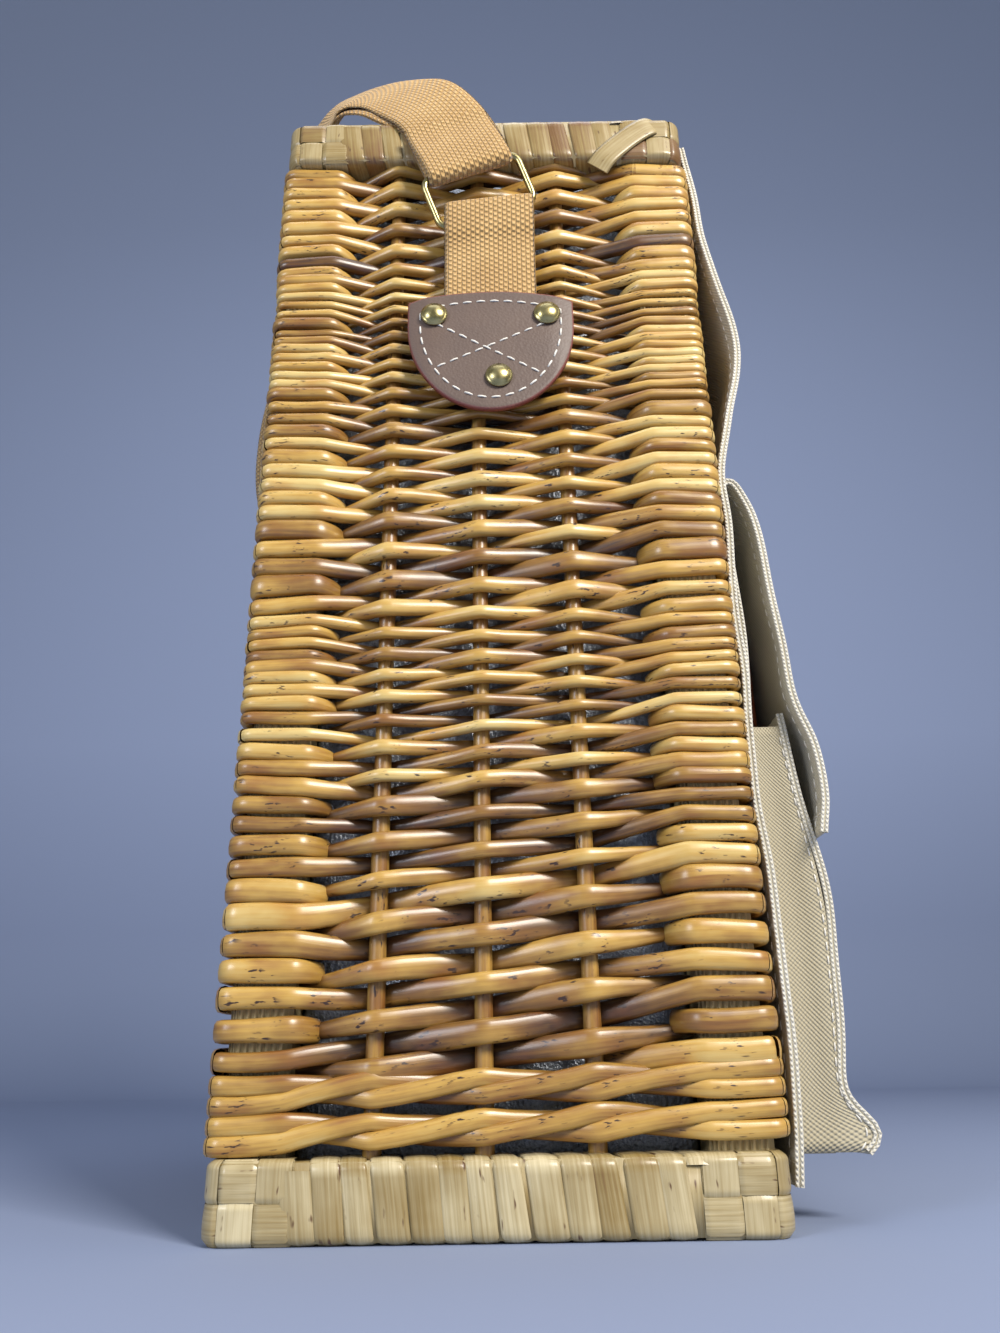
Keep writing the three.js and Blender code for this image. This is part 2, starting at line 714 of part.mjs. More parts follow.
function addPocket() {
  const halfLength = halfWidth - pocketSideInset;
  canvas('pocket_front', prism(sheetOutline(pocketLine, canvasThickness), alongX, -halfLength, halfLength));
  const gussetTop = flapSeamRise - seamGap;
  const frontHeights = [...pocketLine.map(([, z]) => z).filter((z) => z < gussetTop), gussetTop];
  const front = frontHeights.map((z) => [profileAt(pocketLine, z) + seamGap, z]);
  const apronHeights = apronLine.map(([, z]) => z).filter((z) => z < gussetTop && z > pocketBottom);
  const back = [gussetTop, ...apronHeights, pocketBottom].map((z) => [apronOuterAt(z) - seamGap, z]);
  const gusset = prism([...front, ...back], alongX, -halfLength, -halfLength + canvasThickness);
  addPair('pocket_gusset', canvas, welded(gusset));
  const innerLength = halfLength - canvasThickness - seamGap;
  const bottomLow = [-innerLength, pocketLine[0][0] + seamGap, pocketBottom];
  const bottomHigh = [innerLength, apronOuterAt(pocketBottom), pocketBottom + canvasThickness];
  canvas('pocket_bottom', boxBetween(bottomLow, bottomHigh));
}

// Flap: an inner layer sewn to the apron above the pocket rises to a fold, and the outer layer hangs from
// the fold over the pocket's mouth. Rows hold shares of the riser's height and bulge.
const riserShares = [[0, 0], [0.18, 1], [0.5, 0.83], [0.78, 0.31], [1, 0.02]];
const riserLine = riserShares.map(([height, bulge]) => {
  return [-(pocketPlane + bulge * riserBulge), flapSeamRise + height * flapRiserHeight];
});
const riserTop = flapSeamRise + flapRiserHeight;
const foldTop = riserTop + flapFoldHeight;
// Rows hold shares of the flap's reach outwards and of its drop below the fold's top
const flapShares = [
  [0.02, 0.047], [0.03, 0.02], [0.1, 0], [0.22, 0.01], [0.33, 0.05], [0.46, 0.13], [0.64, 0.36], [0.75, 0.62],
  [0.99, 0.77], [1, 0.9], [0.92, 1],
];
const flapLine = flapShares.map(([out, down]) => {
  return [-(pocketPlane + out * flapReach), foldTop - down * flapDrop];
});
const flapHangingLine = flapLine.slice(flapLine.length / 2);

function addFlap() {
  const halfLength = halfWidth - flapSideInset;
  canvas('flap_riser', prism(sheetOutline(riserLine, canvasThickness), alongX, -halfLength, halfLength));
  canvas('pocket_flap', prism(sheetOutline(flapLine, canvasThickness), alongX, -halfLength, halfLength));
}

// Fastening strips: one on the pocket's face below its mouth, one inside the flap facing it
function addFasteners() {
  const halfLength = halfWidth - fastenerSideInset;
  const loopTop = pocketTop - loopStripDrop;
  const loopBottom = loopTop - loopStripHeight;
  const pocketFace = (z) => profileAt(pocketLine, z) - canvasThickness - 2 * seamGap;
  const loopLine = [[pocketFace(loopBottom), loopBottom], [pocketFace(loopTop), loopTop]];
  const loopStrip = prism(sheetOutline(loopLine, fastenerThickness), alongX, -halfLength, halfLength);
  fastener('fastener_strip_pocket', loopStrip);

  const [lowerPlace, upperPlace] = [flapHangingLine.at(-2), flapHangingLine.at(-3)];
  const flapFace = canvasThickness + seamGap;
  const hookTop = lowerPlace[1] + hookStripHeight;
  const hookTopFace = profileAt([lowerPlace, upperPlace], hookTop) + flapFace;
  const hookLine = [[lowerPlace[0] + flapFace, lowerPlace[1]], [hookTopFace, hookTop]];
  const hookStrip = prism(sheetOutline(hookLine, -fastenerThickness), alongX, -halfLength, halfLength);
  fastener('fastener_strip_flap', hookStrip);
}

// Cheese board: stands in the pocket between the riser and the pocket's front
function addBoard() {
  const back = -(pocketPlane + riserBulge + canvasThickness + boardClearance);
  const bottom = pocketBottom + canvasThickness + seamGap;
  const halfHeight = (foldTop - boardTopRoom - bottom) / 2;
  const halfLength = halfWidth - pocketSideInset - boardSideRoom;
  const outline = roundedRectangle(halfHeight, halfLength, boardCornerRadius, bendSteps);
  const board = prism(outline, alongY, back - boardThickness, back);
  darkWood('cheese_board', board.translate(0, 0, bottom + halfHeight));
}

// Leather patch: a half-moon with a low arched top, straight shoulders and an elliptical foot
const tabLayers = 2 * strapThickness + seamGap;
const patchInnerX = -(halfWidth + seamGap + tabLayers + seamGap);
const patchOuterX = patchInnerX - patchThickness;

function patchOutline() {
  const halfPatch = patchWidth / 2;
  const shoulderZ = patchTop - patchArch;
  const footStart = shoulderZ - patchShoulder;
  const footDepth = footStart - (patchTop - patchHeight);
  const points = [];
  for (let step = 0; step <= outlineSteps; step += 1) {
    const angle = (Math.PI * step) / outlineSteps;
    points.push([-gearForward + halfPatch * Math.cos(angle), footStart - footDepth * Math.sin(angle)]);
  }
  for (let step = 0; step <= bendSteps; step += 1) {
    const share = (2 * step) / bendSteps - 1;
    points.push([-gearForward + halfPatch * share, shoulderZ + patchArch * (1 - share * share)]);
  }
  return points;
}

function addPatches() {
  const holes = rivetPlaces.map((place) => circle(place, rivetHoleRadius, wireSides));
  addPair('leather_patch', leather, welded(prism(patchOutline(), alongX, patchOuterX, patchInnerX, holes)));

  const halfSpan = rivetSpacing / 2 + backingMargin;
  const top = patchTop - upperRivetDrop + backingMargin;
  const bottom = patchTop - lowerRivetDrop - backingMargin;
  const outline = [
    [-halfSpan - gearForward, bottom], [halfSpan - gearForward, bottom],
    [halfSpan - gearForward, top], [-halfSpan - gearForward, top],
  ];
  const plate = prism(outline, alongX, -backingOuterX, -(backingOuterX - backingThickness), holes);
  addPair('backing_plate', leather, welded(plate));
}

// Rivets: a domed cap on the patch, a shank through the wall and a flat tail on the backing plate
function addRivets() {
  const capBase = -patchOuterX + seamGap;
  const tailOuter = rivetTailOuterX;
  const tailInner = tailOuter - rivetTailThickness;
  const profile = [
    [0, tailInner], [rivetTailRadius, tailInner], [rivetTailRadius, tailOuter], [rivetShankRadius, tailOuter],
    [rivetShankRadius, capBase], [rivetCapRadius, capBase],
    ...rivetDomeShares.map(([radius, rise]) => [radius * rivetCapRadius, capBase + rise * rivetCapRise]),
  ].map(([radius, height]) => new THREE.Vector2(radius, height));
  const rivet = welded(new THREE.LatheGeometry(profile, rivetSides)).rotateZ(Math.PI / 2);
  const names = ['rivet_back', 'rivet_front', 'rivet_lower'];
  rivetPlaces.forEach(([y, z], index) => addPair(names[index], brass, rivet.clone().translate(0, y, z)));
}

// Ring places on the left side: the lower bar lies in the tab's fold, the upper one carries the strap's
// end. The ring is drawn back by the strap, so its bars slope, and it leans out past the rim.
const barHoleRadius = wireDiameter / 2 + barClearance;
const hairpinRadius = barHoleRadius + strapThickness;
const barSpan = ringHeight - wireDiameter;
const lowerBarX = -(halfWidth + seamGap + hairpinRadius);
const lowerBar = new THREE.Vector3(lowerBarX, -gearForward, basketHeight - ringDrop);
const upperBarX = -(railOuterX + strapThickness + 2 * seamGap + hairpinRadius);
const ringLean = Math.asin((lowerBar.x - upperBarX) / barSpan);
const outwards = new THREE.Vector3(-1, 0, 0);
const alongBar = new THREE.Vector3(0, -Math.cos(ringTilt), Math.sin(ringTilt));
const upRing = new THREE.Vector3(0, Math.sin(ringTilt), Math.cos(ringTilt));
const upLeaningRing = upRing.clone().multiplyScalar(Math.cos(ringLean));
upLeaningRing.addScaledVector(outwards, Math.sin(ringLean));
const upperBar = lowerBar.clone().addScaledVector(upLeaningRing, barSpan);

// Webbing folded round a bar, as [along the webbing, outwards] points from the bar's middle: one layer
// straight down from the bar's inner side, the other brought in to lie on it
function hairpinOutline(length) {
  const innerFace = -barHoleRadius + seamGap;
  const bend = (radius) => arc([0, 0], radius, -Math.PI / 2, -1.5 * Math.PI, halfTurnSteps);
  const outerSide = [[length, -hairpinRadius], ...bend(hairpinRadius)];
  const outerLayer = [[hairpinMerge, innerFace + strapThickness], [length, innerFace + strapThickness]];
  const innerLayer = [[length, innerFace], [hairpinMerge, innerFace]];
  const innerSide = [...bend(barHoleRadius).reverse(), [length, -barHoleRadius]];
  return [...outerSide, ...outerLayer, ...innerLayer, ...innerSide];
}

function addRings() {
  const outline = roundedRectangle((ringWidth - wireDiameter) / 2, barSpan / 2, ringBend, bendSteps);
  const loop = outline.map(([across, up]) => [across, up + barSpan / 2]);
  const facing = new THREE.Vector3().crossVectors(alongBar, upLeaningRing);
  const placing = new THREE.Matrix4().makeBasis(alongBar, upLeaningRing, facing).setPosition(lowerBar);
  addPair('ring', brass, wireLoop(loop, wireDiameter / 2, wireSides).applyMatrix4(placing));
}

// Tab: folded round the ring's lower bar, its two layers tucked under the patch. Its fold slopes with
// the bar and its foot is level.
function addTabs() {
  const footZ = patchTop - tabTuck;
  const length = lowerBar.z - footZ;
  const hairpin = prism(hairpinOutline(length), alongZ, -strapWidth / 2, strapWidth / 2);
  const down = new THREE.Vector3(0, 0, -1);
  const sideways = new THREE.Vector3().crossVectors(down, outwards);
  hairpin.applyMatrix4(new THREE.Matrix4().makeBasis(down, outwards, sideways).setPosition(lowerBar));
  const foldStart = lowerBar.z - hairpinRadius;
  const place = hairpin.attributes.position;
  for (let index = 0; index < place.count; index += 1) {
    const rise = THREE.MathUtils.clamp((place.getZ(index) - patchTop) / (foldStart - patchTop), 0, 1);
    const turned = new THREE.Vector2(place.getY(index), Math.max(place.getZ(index), foldStart));
    const below = turned.y - place.getZ(index);
    turned.rotateAround(new THREE.Vector2(lowerBar.y, lowerBar.z), -rise * ringTilt);
    place.setY(index, turned.x);
    place.setZ(index, turned.y - below);
  }
  addPair('webbing_tab', webbing, welded(hairpin));
}

// Strap ends: folded round the rings' upper bars
function addStrapEnds() {
  const hairpin = prism(hairpinOutline(strapEndLength), alongZ, -strapWidth / 2, strapWidth / 2);
  const sideways = new THREE.Vector3().crossVectors(upRing, outwards);
  hairpin.applyMatrix4(new THREE.Matrix4().makeBasis(upRing, outwards, sideways).setPosition(upperBar));
  addPair('strap_end', webbing, welded(hairpin));
}

// Strap arms: from the ring up past the rim, over it on edge and round the back corner. Rows hold the
// share of the way in from the rim's side face, the share of the way back, the height over the rim in
// strap widths, and the direction of the strap's width.
const strapFoldX = strapFoldShare * halfWidth;
const strapFoldY = halfDepth - strapFoldInset;
const armShares = [
  [0, 0.1, -0.52, [0, -0.93, 0.36]],
  [0, 0.2, -0.05, [0, -0.85, 0.5]],
  [0, 0.31, 0.32, [0, -0.6, 0.8]],
  [0.13, 0.48, 0.46, [0.35, -0.25, 0.9]],
  [0.26, 0.65, 0.52, [0.35, 0, 0.94]],
  [0.4, 0.83, 0.52, [0.2, 0.05, 0.98]],
  [0.66, 0.96, 0.52, [0, 0, 1]],
  [0.9, 1, 0.52, [0, 0, 1]],
  [1, 1, 0.52, [0, 0, 1]],
];
const armStartX = railOuterX + seamGap + strapThickness / 2;
const armPlaces = armShares.map(([inwards, backwards, up]) => {
  const x = -(armStartX + inwards * (strapFoldX + seamGap - armStartX));
  return new THREE.Vector3(x, backwards * strapFoldY, basketHeight + up * strapWidth);
});
const armAcross = armShares.map((row) => new THREE.Vector3(...row[3]));

// Strap loop: hangs behind the basket between the two folds. Rows hold the share of the way out from the
// middle, the distance behind the fold and the height over the rim in strap widths, and the direction of
// the strap's width.
const loopShares = [
  [1, 0, 0.52, [0, 0, 1]],
  [0.94, 0.01, 0.52, [0, 0, 1]],
  [0.87, 0.12, 0.48, [0.2, 0.2, 0.96]],
  [0.78, 0.24, 0.26, [0.4, 0.3, 0.87]],
  [0.66, 0.34, -0.38, [0.7, 0.4, 0.59]],
  [0.52, 0.42, -1.3, [0.8, 0.5, 0.33]],
  [0.36, 0.48, -2.3, [0.7, 0.68, 0.2]],
  [0.18, 0.53, -2.95, [0.4, 0.85, 0.35]],
  [0, 0.56, -3.15, [0, 0.85, 0.53]],
];
const leftLoopPlaces = loopShares.map(([share, back, up]) => {
  const place = [-share * strapFoldX, strapFoldY + back * strapWidth, basketHeight + up * strapWidth];
  return new THREE.Vector3(...place);
});
const leftLoopAcross = loopShares.map((row) => new THREE.Vector3(...row[3]));
const mirroredVector = (vector) => new THREE.Vector3(-vector.x, vector.y, vector.z);

function addStrap() {
  addPair('strap_arm', webbing, band(armPlaces, armAcross, strapWidth, strapThickness));
  const places = [...leftLoopPlaces, ...leftLoopPlaces.slice(0, -1).reverse().map(mirroredVector)];
  const across = [...leftLoopAcross, ...leftLoopAcross.slice(0, -1).reverse().map(mirroredVector)];
  webbing('strap_loop', band(places, across, strapWidth, strapThickness));
}

addPosts();
addStakes();
addRails();
addWalls();
addBase();
addLiner();
addLid();
addApron();
addPocket();
addFlap();
addFasteners();
addBoard();
addPatches();
addRivets();
addRings();
addTabs();
addStrapEnds();
addStrap();

export default basket;
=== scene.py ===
"""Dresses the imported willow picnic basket: woven rods, skein rims, a canvas pocket, leather and webbing.

Shapes are worked out in millimetres, in the frame's own axes: +Z up, the canvas front at -Y, and left at -X.
"""

import bmesh
import bpy
import numpy as np
from mathutils import Euler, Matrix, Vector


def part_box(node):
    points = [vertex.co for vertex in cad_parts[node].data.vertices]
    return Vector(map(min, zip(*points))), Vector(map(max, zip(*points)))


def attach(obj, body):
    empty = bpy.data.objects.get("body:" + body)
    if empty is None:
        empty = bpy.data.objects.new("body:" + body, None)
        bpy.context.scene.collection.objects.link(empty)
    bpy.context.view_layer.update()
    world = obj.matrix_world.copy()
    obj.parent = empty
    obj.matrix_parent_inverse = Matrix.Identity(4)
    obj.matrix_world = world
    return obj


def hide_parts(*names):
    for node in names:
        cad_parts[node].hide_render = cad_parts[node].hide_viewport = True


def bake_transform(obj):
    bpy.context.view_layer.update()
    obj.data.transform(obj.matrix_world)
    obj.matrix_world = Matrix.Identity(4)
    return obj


bl_info = {
    "name": "Willow picnic basket",
    "version": (1, 0, 0),
    "blender": (4, 5, 0),
    "location": "View3D > Sidebar > Basket",
    "description": "Dresses the packed picnic basket with willow, skein, canvas, webbing, leather and brass",
    "category": "Object",
}

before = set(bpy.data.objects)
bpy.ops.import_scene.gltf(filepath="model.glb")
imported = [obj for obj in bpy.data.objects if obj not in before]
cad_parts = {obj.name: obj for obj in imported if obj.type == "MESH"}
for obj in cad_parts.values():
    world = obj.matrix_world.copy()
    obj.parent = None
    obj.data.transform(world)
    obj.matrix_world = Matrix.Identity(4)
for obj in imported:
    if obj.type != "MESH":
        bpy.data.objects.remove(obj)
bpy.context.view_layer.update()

MM = 0.001
TURN = 2 * np.pi
MERGE_DISTANCE = 2e-6
NOISE_WAVES = 7
CURVE_STEPS = 12
CRISP_SHARE = 0.03
NOSE_SHARE = 0.86
SIDES = ((-1, "left"), (1, "right"))
# Directions: outward from the left side, and up
OUTWARD = np.array([-1.0, 0, 0])
UPWARD = np.array([0, 0, 1.0])


def node_box(name):
    """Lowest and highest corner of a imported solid, in millimetres."""
    low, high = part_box(name)
    return np.array(low) / MM, np.array(high) / MM


def srgb(code):
    """Linear red, green and blue of six hex digits: ((c + 0.055) / 1.055) ** 2.4, or c / 12.92 where c is
    small."""
    shares = np.array([int(code[place : place + 2], 16) for place in (0, 2, 4)]) / 255
    linear = np.where(shares > 0.04045, ((shares + 0.055) / 1.055) ** 2.4, shares / 12.92)
    return tuple(linear.tolist())


# Places read from the frame
SIDE = -node_box("woven_wall_left")[0][0]
DEPTH = node_box("woven_wall_left")[1][1]
WEAVE_LOW, WEAVE_HIGH = node_box("woven_wall_left")[0][2], node_box("woven_wall_left")[1][2]
POST_INNER = node_box("corner_post_back_right")[0][:2]
POST_OUTER = node_box("corner_post_back_right")[1][:2]
RAIL_BOX = node_box("top_rail_left")
RAIL_SIDE, RAIL_DEPTH = -RAIL_BOX[0][0], RAIL_BOX[1][1]
RAIL_THICK = RAIL_BOX[1][0] - RAIL_BOX[0][0]
RAIL_HIGH = RAIL_BOX[1][2] - RAIL_BOX[0][2]
HEIGHT = RAIL_BOX[1][2]


class Patchwork:
    """Grids of points gathered into one mesh, each with its UVs in metres, a tone and a material slot."""

    def __init__(self):
        self.points, self.faces, self.uvs, self.tones, self.slots = [], [], [], [], []
        self.count = 0

    def add(self, points, tone=0.5, slot=0, round_rows=False, round_columns=False, uv=None):
        """Adds grids of shape (copies,) rows, columns, 3, and gives itself back. A round direction closes on
        itself, and its uv then has one more row or column."""
        points = points if points.ndim == 4 else points[None]
        copies, rows, columns = points.shape[:3]
        numbers = self.count + np.arange(copies * rows * columns).reshape(copies, rows, columns)
        if round_rows:
            numbers = np.concatenate([numbers, numbers[:, :1]], axis=1)
        if round_columns:
            numbers = np.concatenate([numbers, numbers[:, :, :1]], axis=2)
        uv = measured_uv(points, round_rows, round_columns) if uv is None else uv
        uv = np.broadcast_to(uv, (*numbers.shape, 2))
        faces = corners_of(numbers).reshape(-1, 4)
        tone = np.asarray(tone, float)
        tone = tone.reshape(-1, 1, 1) if tone.ndim == 1 else tone
        self.points.append(points.reshape(-1, 3))
        self.faces.append(faces)
        self.uvs.append(corners_of(uv).reshape(-1, 2) * MM)
        self.tones.append(np.broadcast_to(tone, (copies, rows, columns)).reshape(-1))
        self.slots.append(np.full(len(faces), slot))
        self.count += copies * rows * columns
        return self

    def build(self, name, materials):
        """Makes the object: doubles merged, so that poles and seams close, and faces turned outwards."""
        mesh = bpy.data.meshes.new(name)
        faces = np.vstack(self.faces)
        mesh.from_pydata((np.vstack(self.points) * MM).tolist(), [], faces.tolist())
        layer = mesh.uv_layers.new(name="surface")
        layer.data.foreach_set("uv", np.vstack(self.uvs).ravel())
        mesh.attributes.new("tone", "FLOAT", "POINT").data.foreach_set("value", np.concatenate(self.tones))
        mesh.polygons.foreach_set("material_index", np.concatenate(self.slots).astype(int))
        mesh.polygons.foreach_set("use_smooth", np.ones(len(faces), bool))
        for material in materials:
            mesh.materials.append(material)
        shell = bmesh.new()
        shell.from_mesh(mesh)
        bmesh.ops.remove_doubles(shell, verts=shell.verts, dist=MERGE_DISTANCE)
        bmesh.ops.recalc_face_normals(shell, faces=shell.faces)
        shell.to_mesh(mesh)
        shell.free()
        made = bpy.data.objects.new(name, mesh)
        bpy.context.collection.objects.link(made)
        return made


def corners_of(grid):
    """The four corner values of each cell of a grid, going round."""
    low, high = grid[:, :-1], grid[:, 1:]
    return np.stack([low[:, :, :-1], high[:, :, :-1], high[:, :, 1:], low[:, :, 1:]], axis=3)


def walked(points, axis, closed):
    """Mean distance walked along one axis of a grid, starting at 0."""
    if closed:
        points = np.concatenate([points, np.take(points, [0], axis=axis)], axis=axis)
    steps = np.linalg.norm(np.diff(points, axis=axis), axis=-1)
    steps = steps.mean(axis=tuple(place for place in range(steps.ndim) if place != axis))
    return np.concatenate([[0], np.cumsum(steps)])


def measured_uv(points, round_rows, round_columns):
    """UV of grids: the distance walked along the rows, and along the columns."""
    along = walked(points, 1, round_rows)
    around = walked(points, 2, round_columns)
    return np.stack(np.meshgrid(along, around, indexing="ij"), axis=-1)


def unit(vectors):
    """Vectors of length one."""
    return vectors / np.maximum(np.linalg.norm(vectors, axis=-1, keepdims=True), 1e-12)


def step_between(value, low, high):
    """Smooth step: 0 below low, 1 above high, and 3 t^2 - 2 t^3 between."""
    share = np.clip((value - low) / (high - low), 0, 1)
    return share * share * (3 - 2 * share)


def soft_noise(places, grain, seed):
    """Soft noise near -1 to 1: a sum of sine waves in seeded directions, with lengths near the grain."""
    draw = np.random.default_rng(seed)
    total = np.zeros(places.shape[:-1])
    for _ in range(NOISE_WAVES):
        heading = draw.normal(size=places.shape[-1])
        heading /= np.linalg.norm(heading)
        length = grain * draw.uniform(0.6, 1.7)
        total += np.sin(places @ heading * TURN / length + draw.uniform(0, TURN))
    return total / np.sqrt(NOISE_WAVES)


def curve(knots, count):
    """Even points on a smooth curve through knots. Each stretch is the cubic whose end slopes are half the
    step between its neighbours."""
    knots = np.asarray(knots, float)
    ends = np.vstack([2 * knots[0] - knots[1], knots, 2 * knots[-1] - knots[-2]])
    before, start, end, after = (ends[place : place + len(knots) - 1] for place in range(4))
    share = np.linspace(0, 1, CURVE_STEPS, endpoint=False)[:, None, None]
    cubic = 3 * start - before - 3 * end + after
    square = 2 * before - 5 * start + 4 * end - after
    fine = (2 * start + (end - before) * share + square * share**2 + cubic * share**3) / 2
    fine = np.vstack([fine.transpose(1, 0, 2).reshape(-1, knots.shape[1]), knots[-1:]])
    return even(fine, count)


def even(path, count):
    """The same path with its points at even distances."""
    steps = np.linalg.norm(np.diff(path, axis=0), axis=1)
    walk = np.concatenate([[0], np.cumsum(steps)])
    places = np.linspace(0, walk[-1], count)
    return np.stack([np.interp(places, walk, path[:, axis]) for axis in range(path.shape[1])], axis=1)


def tube(path, thick, high, sides, up=(0, 0, 1), square=1.0):
    """Rings round paths: place + thick cos a * across + high sin a * over, with across = run x up and over =
    across x run. The cos and sin are raised to the power of square, which flattens the oval when below 1."""
    run = unit(np.gradient(path, axis=-2))
    across = unit(np.cross(run, np.broadcast_to(up, run.shape)))
    over = np.cross(across, run)
    angle = TURN * np.arange(sides) / sides
    wide, tall = (np.sign(wave) * np.abs(wave) ** square for wave in (np.cos(angle), np.sin(angle)))
    thick, high = (np.broadcast_to(value, path.shape[:-1])[..., None, None] for value in (thick, high))
    sideways = thick * wide[:, None] * across[..., None, :]
    return path[..., None, :] + sideways + high * tall[:, None] * over[..., None, :]


def closing(count):
    """Share of the full radius along a tube with count points: 0 at both ends, so that they close in a round
    nose."""
    share = np.ones(count)
    share[[0, -1]] = 0
    share[[1, -2]] = NOSE_SHARE
    return share


def with_noses(path, length):
    """A path with one more point a short length inside each end, for a round nose."""
    first = path[..., :1, :] + unit(path[..., 1:2, :] - path[..., :1, :]) * length
    last = path[..., -1:, :] + unit(path[..., -2:-1, :] - path[..., -1:, :]) * length
    return np.concatenate([path[..., :1, :], first, path[..., 1:-1, :], last, path[..., -1:, :]], axis=-2)


def swept(path, across, section):
    """Grid of a section carried along a path. The section's first number goes across, its second along
    face = run x across."""
    run = unit(np.gradient(path, axis=0))
    across = unit(across - run * np.sum(across * run, axis=1, keepdims=True))
    face = np.cross(run, across)
    return path[:, None] + section[:, :1] * across[:, None] + section[:, 1:] * face[:, None]


def webbing_section(width, thick, columns):
    """Outline of a flat band with round edges: a superellipse-like loop, half its points on each face."""
    side = np.linspace(-1, 1, columns)
    rise = (1 - np.abs(side) ** 12) ** 0.5 * 0.5 * thick
    upper = np.stack([side * width / 2, rise], axis=1)
    lower = np.stack([side[::-1] * width / 2, -rise], axis=1)
    return np.vstack([upper, lower[1:-1]])


def band(path, across, width, thick, columns=15):
    """Webbing along a path. Each flat end has a ring close inside it, which keeps its edge crisp, and one
    more ring drawn together at its middle."""
    grid = swept(path, across, webbing_section(width, thick, columns))
    middles = [np.broadcast_to(grid[place].mean(axis=0), grid[:1].shape) for place in (0, -1)]
    near = [(grid[a] + (grid[b] - grid[a]) * CRISP_SHARE)[None] for a, b in ((0, 1), (-1, -2))]
    return np.concatenate([middles[0], grid[:1], near[0], grid[1:-1], near[1], grid[-1:], middles[1]])


def on_side(points, side):
    """A grid drawn for the left side, or its reflection with its rows turned round for the right side."""
    return points if side < 0 else (points * [-1, 1, 1])[..., ::-1, :]


def shell(middle, thick, uv_start=(0, 0)):
    """Closed sheet round a grid of middle points: both faces at half the thickness along the grid's normal,
    joined round the edge. Gives its points and its UVs."""
    normal = normals_of(middle)
    half = np.broadcast_to(thick, middle.shape[:2])[..., None] / 2
    ring = np.concatenate([middle + normal * half, (middle - normal * half)[:, ::-1]], axis=1)
    edges = np.concatenate([middle, middle[:, ::-1]], axis=1)
    ring = np.concatenate([edges[:1], ring, edges[-1:]])
    along, wide = walked(middle[None], 1, False), walked(middle[None], 2, False)
    flat = np.stack(np.meshgrid(along, wide, indexing="ij"), axis=-1) + uv_start
    flat = np.concatenate([flat, flat[:, ::-1], flat[:, :1]], axis=1)
    return ring, np.concatenate([flat[:1], flat, flat[-1:]])


def normals_of(middle):
    """Normals of a grid of points."""
    return unit(np.cross(np.gradient(middle, axis=0), np.gradient(middle, axis=1)))


def stitches(path, outward, length, gap, radius, rise=0.25, sides=5):
    """Thread stitches along a path: each a short bow whose middle stands out by rise, and whose ends sink
    in."""
    walk = np.concatenate([[0], np.cumsum(np.linalg.norm(np.diff(path, axis=0), axis=1))])
    starts = np.arange(gap / 2, walk[-1] - length, length + gap)
    share = np.array([0, 0.12, 0.5, 0.88, 1])
    places = starts[:, None] + share * length
    lift = rise - (2 * share - 1) ** 4 * (rise + radius)
    bows = np.stack([np.interp(places, walk, path[:, axis]) for axis in range(3)], axis=-1)
    facing = np.stack([np.interp(places, walk, outward[:, axis]) for axis in range(3)], axis=-1)
    bows = bows + facing * lift[:, None]
    return tube(bows, radius * closing(5), radius * closing(5), sides, facing)


def sheet_work(grid, thick, tone=0.5):
    """Patchwork that starts with the closed sheet round a grid."""
    points, uv = shell(grid, thick)
    return Patchwork().add(points, tone, round_columns=True, uv=uv)


def finished(work, name, finishes, body, nodes):
    """Builds a piece with its finishes, and says which body it rides on and which solids it stands for."""
    made = work.build(name, [finish(each) for each in finishes])
    if body:
        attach(made, body)
    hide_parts(*nodes)
    return made


def fill_input(tree, socket, value):
    """Links a socket, or a node by its first shown output, or sets the input. A colour gets alpha 1."""
    if isinstance(value, bpy.types.Node):
        value = next(output for output in value.outputs if output.enabled)
    if isinstance(value, bpy.types.NodeSocket):
        tree.links.new(value, socket)
    else:
        socket.default_value = (*value, 1) if socket.type == "RGBA" else value


def add_node(tree, kind, *values, stops=(), **named):
    """Adds a shader node. Values go to its shown inputs in order. A name in small letters is a setting of the
    node, and any other is an input, with _ for a space. Stops are a ramp's places and linear colours."""
    made = tree.nodes.new(f"ShaderNode{kind}")
    for name in filter(str.islower, named):
        setattr(made, name, named[name])
    inputs = list(zip([socket for socket in made.inputs if socket.enabled], values))
    inputs += [(made.inputs[name.replace("_", " ")], named[name]) for name in named if not name.islower()]
    for socket, value in inputs:
        fill_input(tree, socket, value)
    for place, colour in stops[2:]:
        made.color_ramp.elements.new(place)
    for number, (place, colour) in enumerate(stops):
        point = made.color_ramp.elements[number]
        point.position = place
        point.color = (*colour, 1)
    return made


def grain(tree, place, scale, detail=3.0, stretch=(1, 1, 1)):
    """Noise from 0 to 1. The scale is features in a metre, and stretch squeezes single axes."""
    placed = add_node(tree, "Mapping", place, Scale=stretch)
    return add_node(tree, "TexNoise", placed, Scale=scale, Detail=detail)


def weighted_sum(tree, *parts, start=0.0):
    """Patterns, each times its weight, added to a start value."""
    for pattern, weight in parts:
        start = add_node(tree, "Math", pattern, weight, start, operation="MULTIPLY_ADD")
    return start


def wave(tree, place, spacing):
    """Sine of a place, with half a wave for each spacing in metres."""
    angle = add_node(tree, "Math", place, np.pi / spacing, operation="MULTIPLY")
    return add_node(tree, "Math", angle, operation="SINE")


def woven_height(tree, place, spacing):
    """Plain weave: a wave along each axis, multiplied, so that threads pass over and under by turns."""
    axes = add_node(tree, "SeparateXYZ", place).outputs
    warp, weft = (wave(tree, axes[axis], spacing) for axis in (0, 1))
    return add_node(tree, "Math", warp, weft, operation="MULTIPLY")


